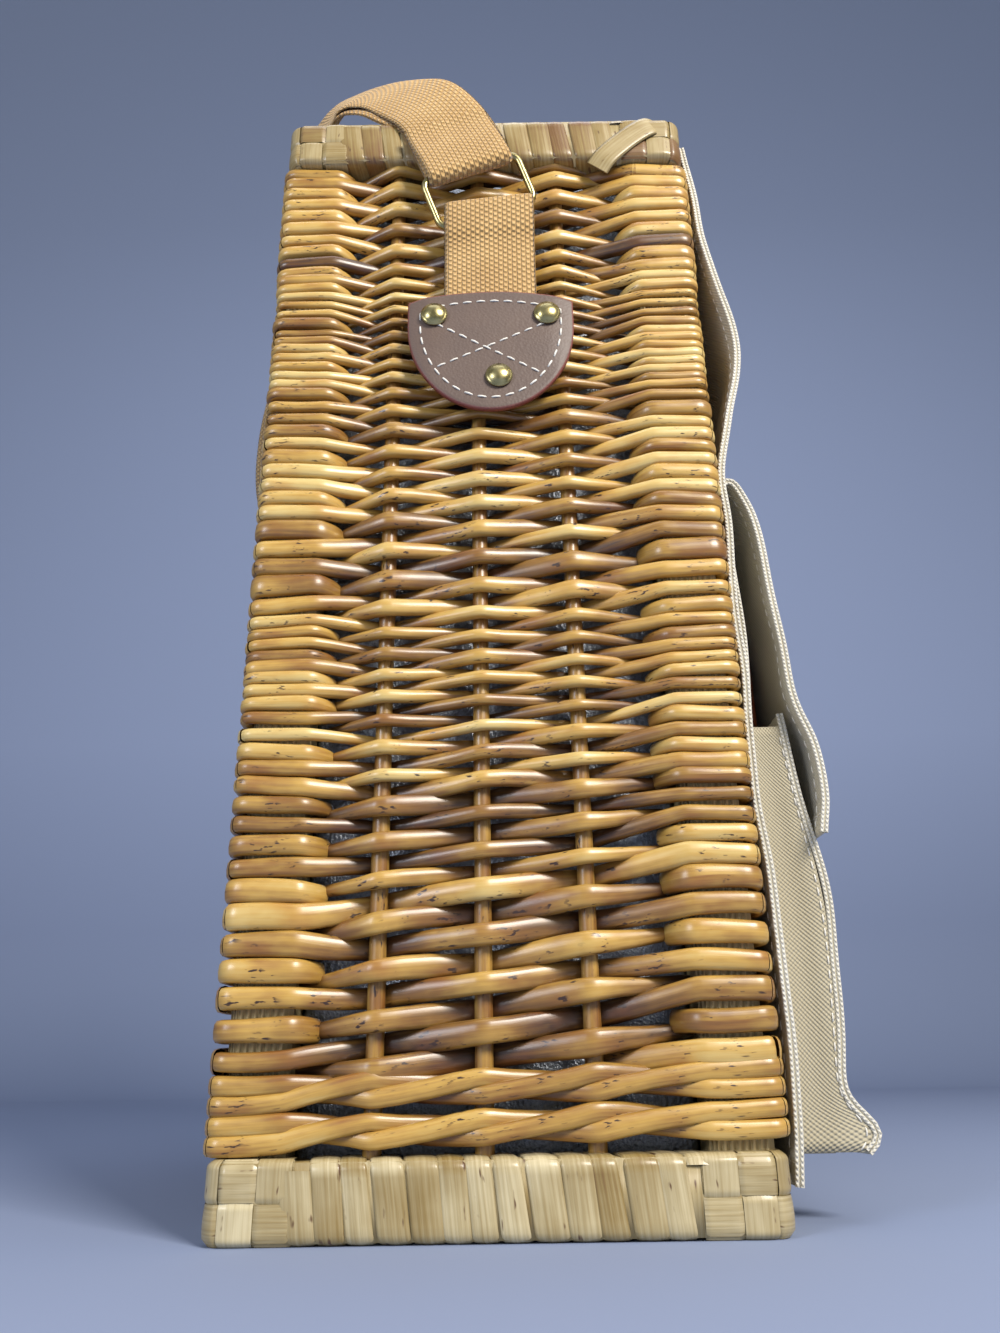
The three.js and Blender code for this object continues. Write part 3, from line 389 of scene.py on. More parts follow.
def finish_surface(tree, colour, roughness, height=None, depth=0.0001, **named):
    """Gives the shader its colour, its roughness, what is named, and a bump of the given depth in metres."""
    if height is not None:
        named["Normal"] = add_node(tree, "Bump", Height=height, Distance=depth, Strength=1.0)
    for name, value in {"Base_Color": colour, "Roughness": roughness, **named}.items():
        fill_input(tree, tree.nodes["Principled BSDF"].inputs[name.replace("_", " ")], value)


def varnished_willow(tree, main):
    """Peeled willow under a glossy coat: golden, each rod with its own tone, fine streaks and small dark
    knots."""
    place = add_node(tree, "UVMap", uv_map="surface")
    tone = add_node(tree, "Attribute", attribute_name="tone").outputs["Fac"]
    clouds = grain(tree, place, 45, 3, (1, 2.5, 1))
    streaks = grain(tree, place, 900, 4, (0.045, 1, 1))
    clusters = add_node(tree, "MapRange", grain(tree, place, 85, 2, (1, 2, 1)), 0.55, 0.62)
    flecks = add_node(tree, "MapRange", grain(tree, place, 900, 2, (0.3, 1.3, 1)), 0.58, 0.63)
    depth = weighted_sum(tree, (tone, 1), (clouds, 1), (streaks, 0.6), start=-0.8)
    stops = [(0.0, srgb("cfb572")), (0.35, main), (0.7, srgb("845e27")), (1.0, srgb("3f2712"))]
    colour = add_node(tree, "ValToRGB", depth, stops=stops)
    blush = add_node(tree, "MapRange", clouds, 0.5, 0.7, To_Max=0.3)
    colour = add_node(tree, "Mix", blush, colour, srgb("a4642c"), data_type="RGBA")
    knots = add_node(tree, "Math", clusters, flecks, operation="MULTIPLY")
    colour = add_node(tree, "Mix", knots, colour, srgb("37200f"), data_type="RGBA")
    roughness = add_node(tree, "MapRange", streaks, -0.6, 2.2)
    height = weighted_sum(tree, (streaks, 1), (clouds, 1.5))
    finish_surface(tree, colour, roughness, height, 0.00014, Coat_Weight=0.55, Coat_Roughness=0.27)


def split_skein(tree, main):
    """Flat skein split from willow: pale straw, in places green-olive, with straight fibres and a satin
    face."""
    place = add_node(tree, "UVMap", uv_map="surface")
    tone = add_node(tree, "Attribute", attribute_name="tone").outputs["Fac"]
    fibres = grain(tree, place, 1100, 4, (0.03, 1, 1))
    clouds = grain(tree, place, 38)
    flecks = add_node(tree, "MapRange", grain(tree, place, 260, 2, (0.4, 1.4, 1)), 0.66, 0.72)
    depth = weighted_sum(tree, (tone, 1), (clouds, 0.9), (fibres, 0.8), start=-0.85)
    stops = [(0.0, srgb("cdc09a")), (0.4, main), (0.7, srgb("8a7442")), (1.0, srgb("6f4e26"))]
    colour = add_node(tree, "ValToRGB", depth, stops=stops)
    colour = add_node(tree, "Mix", flecks, colour, srgb("5a3d20"), data_type="RGBA")
    finish_surface(tree, colour, 0.46, fibres, 0.00016, Coat_Weight=0.45, Coat_Roughness=0.22)


def ribbed_post_wood(tree, main):
    """Peeled post wood with fine ribs along it, 2.2 mm apart, pale and matt."""
    place = add_node(tree, "TexCoord").outputs["Object"]
    axes = add_node(tree, "SeparateXYZ", place).outputs
    plan = weighted_sum(tree, (axes[0], 1), (axes[1], 1), (grain(tree, place, 30), 0.0012))
    ribs = wave(tree, plan, 0.0011)
    fibres = grain(tree, place, 1200, 4, (1, 1, 0.04))
    depth = weighted_sum(tree, (ribs, -0.22), (fibres, 1))
    stops = [(0.2, srgb("cdb784")), (0.55, main), (1.0, srgb("7d6538"))]
    colour = add_node(tree, "ValToRGB", depth, stops=stops)
    finish_surface(tree, colour, 0.62, weighted_sum(tree, (ribs, 1), (fibres, 1)), 0.0003)


def cotton_canvas(tree, main):
    """Undyed cotton canvas: a plain weave of coarse threads, cream, a little soiled. The threads are drawn
    0.8 mm apart, about twice the real spacing, so that they show."""
    place = add_node(tree, "UVMap", uv_map="surface")
    tone = add_node(tree, "Attribute", attribute_name="tone").outputs["Fac"]
    weave = woven_height(tree, place, 0.0008)
    shade = weighted_sum(tree, (weave, 0.1), (grain(tree, place, 18, 4), 0.3), (tone, 1), start=-0.2)
    stops = [(0.1, srgb("dedbd0")), (0.42, main), (0.95, srgb("94835f"))]
    colour = add_node(tree, "ValToRGB", shade, stops=stops)
    height = weighted_sum(tree, (weave, 1), (grain(tree, place, 420), 0.8))
    finish_surface(tree, colour, 0.9, height, 0.00022, Sheen_Weight=0.25)


def cotton_webbing(tree, main):
    """Heavy cotton webbing: thick yarns in columns along the band, sandy, with painted shade that darkens the
    hollows between the yarns and leaves the raised yarns paler. They are drawn 1.9 mm apart across the band,
    coarser than real, so that they show."""
    place = add_node(tree, "UVMap", uv_map="surface")
    tone = add_node(tree, "Attribute", attribute_name="tone").outputs["Fac"]
    squeezed = add_node(tree, "Mapping", place, Scale=(1.2, 0.8, 1))
    weave = woven_height(tree, squeezed, 0.0015)
    across = add_node(tree, "SeparateXYZ", squeezed).outputs[1]
    ribs = add_node(tree, "Math", wave(tree, across, 0.0015), operation="ABSOLUTE")
    # Grooves between the yarn columns: a bump, and painted shade in the colour
    groove_depth_and_shade = add_node(tree, "Math", 1.0, add_node(tree, "MapRange", ribs, 0.0, 0.55), operation="SUBTRACT")
    clouds = grain(tree, place, 60)
    # Painted shade: the colour is paler on raised yarns and darker in the grooves
    shade = weighted_sum(tree, (weave, -0.2), (clouds, 0.4), (tone, 1), (groove_depth_and_shade, 0.3), start=-0.16)
    stops = [(0.0, srgb("edd0a0")), (0.4, main), (1.0, srgb("8f6937"))]
    colour = add_node(tree, "ValToRGB", shade, stops=stops)
    height = weighted_sum(tree, (weave, 1), (grain(tree, place, 900, 3, (1, 0.5, 1)), 0.4), (groove_depth_and_shade, -1))
    finish_surface(tree, colour, 0.88, height, 0.00045, Sheen_Weight=0.2)


def bonded_leather(tree, main):
    """Split leather with a smooth taupe face and a fine pebble, its cut edge raw, reddish and fuzzy."""
    place = add_node(tree, "TexCoord").outputs["Object"]
    tone = add_node(tree, "Attribute", attribute_name="tone").outputs["Fac"]
    pebble = add_node(tree, "TexVoronoi", place, Scale=900.0)
    fuzz = grain(tree, place, 1500, 4)
    face = add_node(tree, "Mix", grain(tree, place, 60), main, srgb("554640"), data_type="RGBA")
    raw = add_node(tree, "Mix", fuzz, srgb("93504a"), srgb("5f2f2c"), data_type="RGBA")
    cut = add_node(tree, "MapRange", tone, 0.55, 0.9)
    colour = add_node(tree, "Mix", cut, face, raw, data_type="RGBA")
    finish_surface(tree, colour, 0.52, weighted_sum(tree, (pebble, 0.5), (fuzz, tone)), 0.00015)


def cotton_thread(tree, main):
    """White sewing thread, twisted, with a soft sheen."""
    twist = grain(tree, add_node(tree, "TexCoord").outputs["Object"], 2200, 2)
    colour = add_node(tree, "Mix", twist, main, srgb("cfcabb"), data_type="RGBA")
    finish_surface(tree, colour, 0.75, twist, Sheen_Weight=0.3)


def plated_brass(tree, main):
    """Brass plating on steel wire and rivets: bright and smooth, with faint rubbed marks. Its main colour is
    darkened, a painted reflection of the dark room round it.
    """
    rubbed = grain(tree, add_node(tree, "TexCoord").outputs["Object"], 320, 4)
    colour = add_node(tree, "Mix", rubbed, main, srgb("c9bd8c"), data_type="RGBA")
    finish_surface(tree, colour, add_node(tree, "MapRange", rubbed, -0.4, 2.6), rubbed, 0.00003, Metallic=1.0)


def crinkled_foil(tree, main):
    """Laminated aluminium foil on foam: silver, mirror-bright on small crinkles that point every way. Its
    main colour is a dark grey, painted shade for the basket's shaded inside.
    """
    place = add_node(tree, "TexCoord").outputs["Object"]
    creases = add_node(tree, "TexVoronoi", place, Scale=700.0)
    fine = grain(tree, place, 1500, 4)
    colour = add_node(tree, "Mix", fine, main, srgb("c2c8d0"), data_type="RGBA")
    finish_surface(tree, colour, 0.38, weighted_sum(tree, (creases, 1), (fine, 1)), 0.0003, Metallic=0.85)


def hook_and_loop(tree, main):
    """Nylon hook-and-loop tape: matt brown pile of fine loops."""
    pile = grain(tree, add_node(tree, "TexCoord").outputs["Object"], 1600, 4)
    colour = add_node(tree, "Mix", pile, main, srgb("6e5a42"), data_type="RGBA")
    finish_surface(tree, colour, 0.95, pile, 0.0006, Sheen_Weight=0.4)


def oiled_hardwood(tree, main):
    """Oiled dark hardwood: long grain along X with growth rings, reddish brown, softly shiny."""
    place = add_node(tree, "TexCoord").outputs["Object"]
    pores = grain(tree, place, 1300, 3, (0.04, 1, 1))
    depth = weighted_sum(tree, (grain(tree, place, 70, 4, (0.12, 1, 1)), 1), (pores, 0.3))
    stops = [(0.35, srgb("a85a38")), (0.65, main), (0.95, srgb("4a2416"))]
    colour = add_node(tree, "ValToRGB", depth, stops=stops)
    finish_surface(tree, colour, 0.42, pores)


def backdrop_cloth(tree, main):
    """Plain smooth backdrop cloth, matt, with painted shade that makes it a little darker at the floor."""
    height = add_node(tree, "SeparateXYZ", add_node(tree, "TexCoord").outputs["Object"]).outputs[2]
    # Painted shade: the colour darkens to the floor colour from 0.6 m down to the floor
    level = add_node(tree, "MapRange", height, 0.0, 0.6)
    finish_surface(tree, add_node(tree, "Mix", level, srgb("8390ae"), main, data_type="RGBA"), 0.95)


FINISHES = {
    "willow": varnished_willow,
    "skein": split_skein,
    "post": ribbed_post_wood,
    "canvas": cotton_canvas,
    "webbing": cotton_webbing,
    "leather": bonded_leather,
    "thread": cotton_thread,
    "brass": plated_brass,
    "foil": crinkled_foil,
    "fastener": hook_and_loop,
    "board": oiled_hardwood,
    "backdrop": backdrop_cloth,
}
made_finishes = {}


def finish(name):
    """The material of that finish, made once. It has the name of the function that draws it."""
    if name not in made_finishes:
        made = bpy.data.materials.new(FINISHES[name].__name__)
        made.use_nodes = True
        FINISHES[name](made.node_tree, tuple(getattr(bpy.context.scene.basket_colours, name)))
        made_finishes[name] = made
    return made_finishes[name]


def sizes():
    """The sizes set in the panel."""
    return bpy.context.scene.basket_sizes


# The camera stands in front of the left side, low, and looks up a little, as the photograph was taken
CAMERA_PLACE = (-475.4, -3.1, 50.4)
CAMERA_PITCH = 21.3
CAMERA_ROLL = 0.9
CAMERA_LENS = 27.03
FLOOR_SIZE = 3200
FLOOR_BEND = 260
WALL_DISTANCE = 1300
ROOM_LIGHT = 0.38
# Each lamp's place and side length in millimetres, its power in watts and its tint
LAMPS = {
    "window": ((-1000, -620, 900), 420, 23.0, "fff8ee"),
    "ceiling": ((-150, 0, 1700), 900, 6.0, "f4f7ff"),
    "fill": ((-1000, 800, 500), 380, 6.0, "eef3ff"),
}


def stage_parts():
    """Camera, lamps, world and a backdrop whose floor rises into a wall on a quarter circle."""
    scene = bpy.context.scene
    lens = bpy.data.cameras.new("camera")
    lens.lens = CAMERA_LENS
    lens.clip_start = 0.01
    camera = bpy.data.objects.new("camera", lens)
    camera.location = [value * MM for value in CAMERA_PLACE]
    turn = Euler((np.radians(90 + CAMERA_PITCH), 0, np.radians(-90)), "XYZ").to_matrix()
    roll = Euler((0, 0, np.radians(-CAMERA_ROLL)), "XYZ").to_matrix()
    camera.rotation_euler = (turn @ roll).to_euler()
    scene.collection.objects.link(camera)
    scene.camera = camera
    scene.view_settings.view_transform = "Standard"

    bend = np.linspace(0, np.pi / 2, 24)
    rise_x = WALL_DISTANCE - FLOOR_BEND + FLOOR_BEND * np.sin(bend)
    rise_z = FLOOR_BEND * (1 - np.cos(bend))
    line_x = np.concatenate([[-FLOOR_SIZE], rise_x, [WALL_DISTANCE]])
    line_z = np.concatenate([[0], rise_z, [FLOOR_SIZE]])
    sideways = np.linspace(-FLOOR_SIZE, FLOOR_SIZE, 8)
    grid = np.stack(np.broadcast_arrays(line_x[:, None], sideways, line_z[:, None]), axis=-1)
    Patchwork().add(grid).build("backdrop", [finish("backdrop")])

    world = bpy.data.worlds.new("soft_room")
    world.use_nodes = True
    light = world.node_tree.nodes["Background"].inputs
    light["Color"].default_value = (*srgb("e9edf2"), 1)
    light["Strength"].default_value = ROOM_LIGHT
    scene.world = world
    for name, (place, size, power, tint) in LAMPS.items():
        lamp = bpy.data.lights.new(name, "AREA")
        lamp.shape = "SQUARE"
        lamp.size = size * MM
        lamp.energy = power
        lamp.color = srgb(tint)
        holder = bpy.data.objects.new(name, lamp)
        holder.location = [value * MM for value in place]
        aim = np.array([0, 0, HEIGHT / 2]) - place
        flat = np.hypot(aim[0], aim[1])
        holder.rotation_euler = (np.arctan2(flat, -aim[2]), 0, np.arctan2(aim[1], aim[0]) - np.pi / 2)
        scene.collection.objects.link(holder)


# Weave: the rods' section, and how they pass the posts and stakes
ROD_OUT = SIDE - POST_OUTER[0]
ROD_TALLEST = 8.4
ROD_FULLNESS = 1.12
ROD_SQUARENESS = 0.7
# A rod's height wanders by this much, and its thickness by this share, over these lengths
ROD_WANDER, WANDER_LENGTH = 0.55, 45
UNEVEN_SHARE, UNEVEN_LENGTH = 0.07, 34
ROD_NOSE = 0.8
# A rod's tone above its row's, and the painted shade that darkens it where it lies inside the wall
ROD_TONE, INSIDE_PAINTED_SHADE = 0.04, 0.26
# Painted shade that darkens the rods over a post's faces, which catch less light than the rods between; and
# the stakes' tone
CAP_PAINTED_SHADE, STAKE_TONE = 0.06, 0.62
# Each rod reads its finish from a random place within this length
FINISH_SPREAD = 900
ROD_SIDES = 12
STAKE_RADIUS = 3
# The stakes are let into the rims this deep, and the highest rods may reach into the rim
LET_IN = 7
RIM_ROOM = 2
WRAP_POINTS = 42
SWING = STAKE_RADIUS + ROD_OUT / 2
CORNER_RADIUS = 6
CORNER_STEPS = 5
BEND_REACH = 1.2
# A short rod lies this much deeper beside a post than behind a stake
BESIDE_POST = 1.3
SHORT_END = 0.55
SPAN_SHARES = (0, 0.06, 0.24, 0.5, 0.76, 0.94)
# A short rod's end beside a post, as out from the wall's face and past the post's inner edge
WRAP_TUCK = [(-10, -7.2), (-4.6, -4.8), (-0.6, -0.8), (0, 1.4)]
# Distance of the stakes in the front and back walls
STAKE_SPACING = 44
# Bands of rows from the bottom up: the height where each ends, and its rows
WEAVE_BANDS = [(107, 8), (142.5, 6), (166.5, 5), (203.5, 9), (242, 6), (297, 11), (361, 19), (416.7, 10)]
WALE_TOP = 47
# A rod over a back post is two rows higher when it comes to the front post
ROWS_CLIMBED = 2
# Long rods with no wrap above them on the back posts and on the front posts, counted from the bottom
BARE_BACK = (2, 6, 8, 13, 15, 18, 21, 23, 26, 28, 29, 33)
BARE_FRONT = (1, 5, 9, 11, 14, 16, 20, 22, 27, 28, 29, 31, 34)
WALE_LEVELS = (29.2, 41.0)
WALE_LIFT = 2.7
WALE_HALF = 3.0
WALE_CLIMB = 2.5
WALLS = ("left", "right", "front", "back")
# Darker bands of rows: the middle's height, the reach and the strength
DARK_BANDS = ((70, 50, 0.34), (222, 14, 0.25), (368, 7, 0.25), (420, 60, 0.2))
WALE_TONES = (0.3, 0.38)


def wall_plan(wall):
    """Half length, outer face, post's inner edge and the stakes' places along a wall."""
    if wall in ("left", "right"):
        boxes = [node_box(f"stake_{place}_left") for place in ("front", "middle", "back")]
        stakes = [(low[1] + high[1]) / 2 for low, high in boxes]
        return DEPTH, SIDE, POST_INNER[1], sorted(stakes)
    return SIDE, DEPTH, POST_INNER[0], [turn * STAKE_SPACING for turn in range(-2, 3)]


def placed_on(wall, along, out, height):
    """Points of a wall from the place along it, the distance out from the basket's middle, and the height."""
    along, out, height = np.broadcast_arrays(along, out, height)
    if wall in ("left", "right"):
        return np.stack([out * (-1 if wall == "left" else 1), along, height], axis=-1)
    return np.stack([along, out * (-1 if wall == "front" else 1), height], axis=-1)


def row_steps():
    """Room of each row above the wale, with a small seeded unevenness."""
    draw = np.random.default_rng(11)
    low, steps = WALE_TOP, []
    for top, count in WEAVE_BANDS:
        share = draw.uniform(0.88, 1.12, count)
        steps.extend(share * (top - low) / share.sum())
        low = top
    return np.array(steps)


def over_post(bare):
    """Heights of the rows over a post: a row without its wrap leaves its room to the others. Also says which
    those rows are."""
    steps = row_steps()
    is_bare = np.zeros(len(steps), bool)
    is_bare[1 + 2 * np.array(bare)] = True
    around = np.ones(9)
    room = np.where(is_bare, 0, steps)
    room *= np.convolve(steps, around, "same") / np.convolve(room, around, "same")
    room *= steps.sum() / room.sum()
    return WALE_TOP + np.cumsum(room) - room / 2, is_bare


def wall_rows(wall):
    """Heights of a wall's rows beside its first post, at its stakes and beside its last post, and over both
    posts. On the sides the rows climb to the front, so some start below the front post's rows or end above
    the back's."""
    _, _, post, stakes = wall_plan(wall)
    steps = np.convolve(np.pad(row_steps(), 2, "edge"), np.ones(5) / 5, "valid")
    steps = np.pad(steps, ROWS_CLIMBED, "edge")
    heights = WALE_TOP + np.cumsum(steps) - steps / 2 - steps[:ROWS_CLIMBED].sum()
    front, back = over_post(BARE_FRONT)[0], over_post(BARE_BACK)[0]
    if wall in ("left", "right"):
        share = (post - np.array([-post, *stakes, post])) / (2 * post)
        lowest = heights[:-ROWS_CLIMBED, None]
        beside = np.maximum(lowest + (heights[ROWS_CLIMBED:, None] - lowest) * share, WALE_TOP)
        over = [np.pad(front, (0, ROWS_CLIMBED), "edge"), np.pad(back, (ROWS_CLIMBED, 0), "edge")]
    else:
        beside = np.repeat(heights[ROWS_CLIMBED:-ROWS_CLIMBED, None], len(stakes) + 2, axis=1)
        over = [front, front] if wall == "front" else [back, back]
    return beside, np.stack(over, axis=1)


def hats(along, knots):
    """Share of each knot at places along a line: straight from knot to knot, and rounded over a short
    reach."""
    near = along + np.linspace(-BEND_REACH, BEND_REACH, 5)[:, None]
    return np.stack([np.interp(near, knots, row).mean(axis=0) for row in np.eye(len(knots))], axis=1)


def wall_walk(wall):
    """Places along a wall with its two rounded corners, and how far out a rod lies there when it is
    outside."""
    half, outer, post, stakes = wall_plan(wall)
    straight = half - CORNER_RADIUS
    knots = np.array([-straight, -post, *stakes, post, straight])
    along = knots[:-1, None] + np.diff(knots)[:, None] * SPAN_SHARES
    along = np.append(along.ravel(), straight)
    bend = np.linspace(0, np.pi / 4, CORNER_STEPS)[1:]
    centre = CORNER_RADIUS - ROD_OUT / 2
    end_along = straight + centre * np.sin(bend)
    end_out = outer - CORNER_RADIUS + centre * np.cos(bend)
    out = np.concatenate([end_out[::-1], np.full(len(along), outer - ROD_OUT / 2), end_out])
    return np.concatenate([-end_along[::-1], along, end_along]), out


def lay_rods(work, wall, keep, knots, signs, heights, halves, tones, is_closed):
    """Adds rods of one plan along the kept part of a wall. Each has a height and half a thickness for each
    knot, and is outside or inside there by the knot's sign."""
    along, out = (values[keep] for values in wall_walk(wall))
    weights = hats(along, knots)
    swing = weights @ np.asarray(signs, float)
    heights = np.minimum(heights @ weights.T, WEAVE_HIGH + RIM_ROOM)
    paths = placed_on(wall, along, out + SWING * (swing - 1), heights)
    add_rods(work, paths, halves @ weights.T, tones, swing, is_closed)


def add_rods(work, paths, halves, tones, swing, is_closed):
    """Adds a rod along each path: a flattened oval, darkened by painted shade where it lies inside. Closed
    rods end in a nose."""
    paths = paths + UPWARD * (ROD_WANDER * soft_noise(paths * [1, 1, 3], WANDER_LENGTH, 5))[..., None]
    # Painted shade: a rod's tone darkens where it swings inside the wall
    tones = tones[:, None] + ROD_TONE + INSIDE_PAINTED_SHADE * (1 - np.broadcast_to(swing, paths.shape[:2]))
    if is_closed:
        paths = with_noses(paths, ROD_NOSE)
        halves, tones = (np.pad(values, ((0, 0), (1, 1)), "edge") for values in (halves, tones))
    nose = closing(paths.shape[1]) if is_closed else 1
    thick = np.minimum(halves, sizes().rod_depth / MM / 2 - 0.1) * nose
    high = halves * (1 + UNEVEN_SHARE * soft_noise(paths * [1, 1, 3], UNEVEN_LENGTH, 23)) * nose
    rings = tube(paths, thick, high, ROD_SIDES, square=ROD_SQUARENESS)
    uv = np.repeat(measured_uv(rings, False, True)[None], len(paths), axis=0)
    uv[..., 0] += np.random.default_rng(len(paths)).uniform(0, FINISH_SPREAD, len(paths))[:, None, None]
    work.add(rings, np.clip(tones, 0, 1)[..., None], round_columns=True, uv=uv)


def rods_of(wall, work, tones):
    """Adds a wall's long rods, over the posts and behind the first stake, and the short ones between its
    posts."""
    along, _ = wall_walk(wall)
    half, _, post, stakes = wall_plan(wall)
    beside, over = wall_rows(wall)
    lively = np.random.default_rng(17).uniform(0.76, 1.12, len(beside))[:, None]
    halves = np.minimum(np.gradient(beside, axis=0) * ROD_FULLNESS, ROD_TALLEST) / 2 * lively
    halves[:ROWS_CLIMBED] = halves[ROWS_CLIMBED]
    signs = np.array([1 - 2 * (place % 2) for place in range(len(stakes) + 2)])
    short_signs = -signs.astype(float)
    short_signs[[0, -1]] *= BESIDE_POST
    short_halves = halves * np.pad(np.ones(len(stakes)), 1, constant_values=SHORT_END)
    long_heights = np.column_stack([over[:, 0], over[:, 0], beside[:, 1:-1], over[:, 1], over[:, 1]])
    long_halves = np.column_stack([halves[:, 0], halves, halves[:, -1]])
    long_plan = ([-half, -post, *stakes, post, half], [1, *signs, 1], long_heights, long_halves)
    short_plan = ([-post, *stakes, post], short_signs, beside, short_halves)
    whole, between, start = np.abs(along) <= half, np.abs(along) <= post, along <= stakes[0] + 1

    def lay(keep, plan, rows, is_closed):
        """Adds the chosen rows of a plan."""
        knots, signs, heights, halves = plan
        lay_rods(work, wall, keep, knots, signs, heights[rows], halves[rows], tones[rows], is_closed)

    first = ROWS_CLIMBED if wall in ("left", "right") else 0
    lay(whole, long_plan, slice(first, None, 2), False)
    lay(between, short_plan, slice(first + 1, None, 2), True)
    if first:
        lay(start, long_plan, slice(0, 1), True)
        lay(between, short_plan, slice(1, 2), True)


def corner_wraps(work, tones, side, end):
    """Adds the short rods that cap a post: each comes out beside the post's inner edge, passes over its two
    outer faces, and goes in again beside its other inner edge."""
    heights, is_bare = over_post(BARE_FRONT if end < 0 else BARE_BACK)
    rows = np.arange(1, len(heights), 2)
    rows = rows[~is_bare[rows]]
    post_x, post_y = POST_INNER
    face_x, face_y = SIDE - ROD_OUT / 2, DEPTH - ROD_OUT / 2
    turn_x, turn_y = SIDE - CORNER_RADIUS, DEPTH - CORNER_RADIUS
    bend = np.linspace(0, np.pi / 2, 5)[1:-1]
    bend_radius = CORNER_RADIUS - ROD_OUT / 2
    rounding = [(turn_x + bend_radius * np.cos(a), turn_y + bend_radius * np.sin(a)) for a in bend]
    knots = [
        *[(face_x + out, post_y + past) for out, past in WRAP_TUCK],
        (face_x, turn_y - CORNER_RADIUS),
        (face_x, turn_y),
        *rounding,
        (turn_x, face_y),
        (turn_x - CORNER_RADIUS, face_y),
        *[(post_x + past, face_y + out) for out, past in reversed(WRAP_TUCK)],
    ]
    plan = curve(np.array(knots), WRAP_POINTS)
    paths = np.repeat(np.column_stack([plan * [side, end], np.zeros(len(plan))])[None], len(rows), axis=0)
    paths[..., 2] = heights[rows, None]
    halves = np.minimum(np.gradient(heights)[rows], ROD_TALLEST) / 2
    halves *= np.random.default_rng(len(rows)).uniform(0.9, 1.02, len(rows))
    halves = np.repeat(halves[:, None], len(plan), axis=1)
    first = 0 if end < 0 else ROWS_CLIMBED
    # The wraps get extra painted shade over the post's faces
    add_rods(work, paths, halves, tones[rows + first] + CAP_PAINTED_SHADE, 1.0, True)


def wale_rods(wall, work, tones):
    """Adds the wale: in each of its two rows three rods take turns, each over two stakes and behind the
    third. A rod climbs while it is outside, and a post counts as a stake."""
    along, _ = wall_walk(wall)
    half, _, post, stakes = wall_plan(wall)
    knots = np.array([-post, *stakes, post])
    climb = {"front": 1, "back": 0}.get(wall, (post - knots) / (2 * post))
    for number, level in enumerate(WALE_LEVELS):
        for strand in range(3):
            turn = (strand - np.arange(len(knots))) % 3
            lifts = np.array([-1, 1, 0])[turn] * WALE_LIFT
            heights = level + WALE_CLIMB * climb + lifts
            signs = np.where(turn == 2, -1, 1)
            low, high = (half if sign > 0 else post for sign in signs[[0, -1]])
            keep = (along >= -low) & (along <= high)
            ends = [-half, *knots, half]
            signs, heights = (np.pad(values, 1, "edge") for values in (signs, heights))
            halves = np.full((1, len(ends)), WALE_HALF)
            tone = np.array([tones[number] + 0.08 * strand])
            lay_rods(work, wall, keep, ends, signs, heights[None], halves, tone, False)


def stake_rods(wall, work):
    """Adds a wall's stakes: straight round sticks, a little uneven."""
    _, outer, _, stakes = wall_plan(wall)
    heights = np.linspace(WEAVE_LOW - LET_IN, WEAVE_HIGH + LET_IN, 70)
    for stake in stakes:
        path = placed_on(wall, stake, outer - ROD_OUT - STAKE_RADIUS, heights)
        radius = STAKE_RADIUS * (1 + 0.03 * soft_noise(path, 25, int(abs(stake))))
        work.add(tube(path, radius, radius, ROD_SIDES, (1, 1, 0)), STAKE_TONE, round_columns=True)


def row_tones():
    """Tone of each row, 0 pale to 1 dark: seeded, darker low down, at the top and in two bands as
    photographed."""
    beside, _ = wall_rows("left")
    heights = beside.mean(axis=1)
    tones = np.random.default_rng(29).uniform(-0.05, 0.55, len(heights))
    for middle, reach, strength in DARK_BANDS:
        tones += strength * np.exp(-(((heights - middle) / reach) ** 2))
    return tones


def weave_parts():
    """The four woven walls, the posts' caps and the side stakes."""
    tones = row_tones()
    for wall in WALLS:
        work = Patchwork()
        own = {"front": tones[:-ROWS_CLIMBED], "back": tones[ROWS_CLIMBED:]}.get(wall, tones)
        rods_of(wall, work, own)
        wale_rods(wall, work, WALE_TONES)
        is_side = wall in ("left", "right")
        sticks = Patchwork() if is_side else work
        stake_rods(wall, sticks)
        if is_side:
            for end in (-1, 1):
                corner_wraps(work, tones, -1 if wall == "left" else 1, end)
            stakes = [f"stake_{place}_{wall}" for place in ("front", "middle", "back")]
            finished(sticks, f"stakes_{wall}", ["willow"], "basket", stakes)
        finished(work, f"weave_{wall}", ["willow"], "basket", [f"woven_wall_{wall}"])


def post_parts():
    """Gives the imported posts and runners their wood."""
    for name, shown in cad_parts.items():
        if name.startswith(("corner_post", "base_runner")):
            shown.data.materials.clear()
            shown.data.materials.append(finish("post"))


# Rims: flat skein wound round each rail, and plaited over the corners
SKEIN_WIDTH = 9.1
SKEIN_THICK = 0.9
RAIL_ROUND = 3
RAIL_STEPS = 5
WRAP_STEPS = 36
# Across a strip of skein: shares of its width, and how deep it is sunk there as shares of its thickness
SKEIN_SHARES = np.array([-0.5, -0.485, -0.4, 0, 0.4, 0.485, 0.5])
SUNK_SHARES = np.array([1.0, 0.55, 0.26, 0, 0.26, 0.55, 1.0])
PLAIT_SHARES = np.array([0.5, 0.2, 0.05, 0, 0.05, 0.2, 0.5])
# The share of its room along the rail that a strip of skein covers, and how much darker the top rims are
COVER_SHARE = 0.97
TOP_SHADE = 0.34
PLAIT_START = 60
PLAIT_CELL = 11
PLAIT_COLUMNS, PLAIT_ROWS = 6, 2
PLAIT_SINK = 0.55
RIM_CORNER = 8
# A rim's wood lies this deep under its skein, and clears the posts by the gap. Its corner has rows of how far
# in from the face and how far short of the end.
CORE_INSET = 1.0
CORE_GAP = 0.4
CORE_CORNER = [(0, 6), (2, 3), (5, 0.4)]
# The front and back rails' wood and skein end this short of the posts' inner edges
STRAIGHT_SHORT, SKEIN_SHORT = 0.5, 1.5
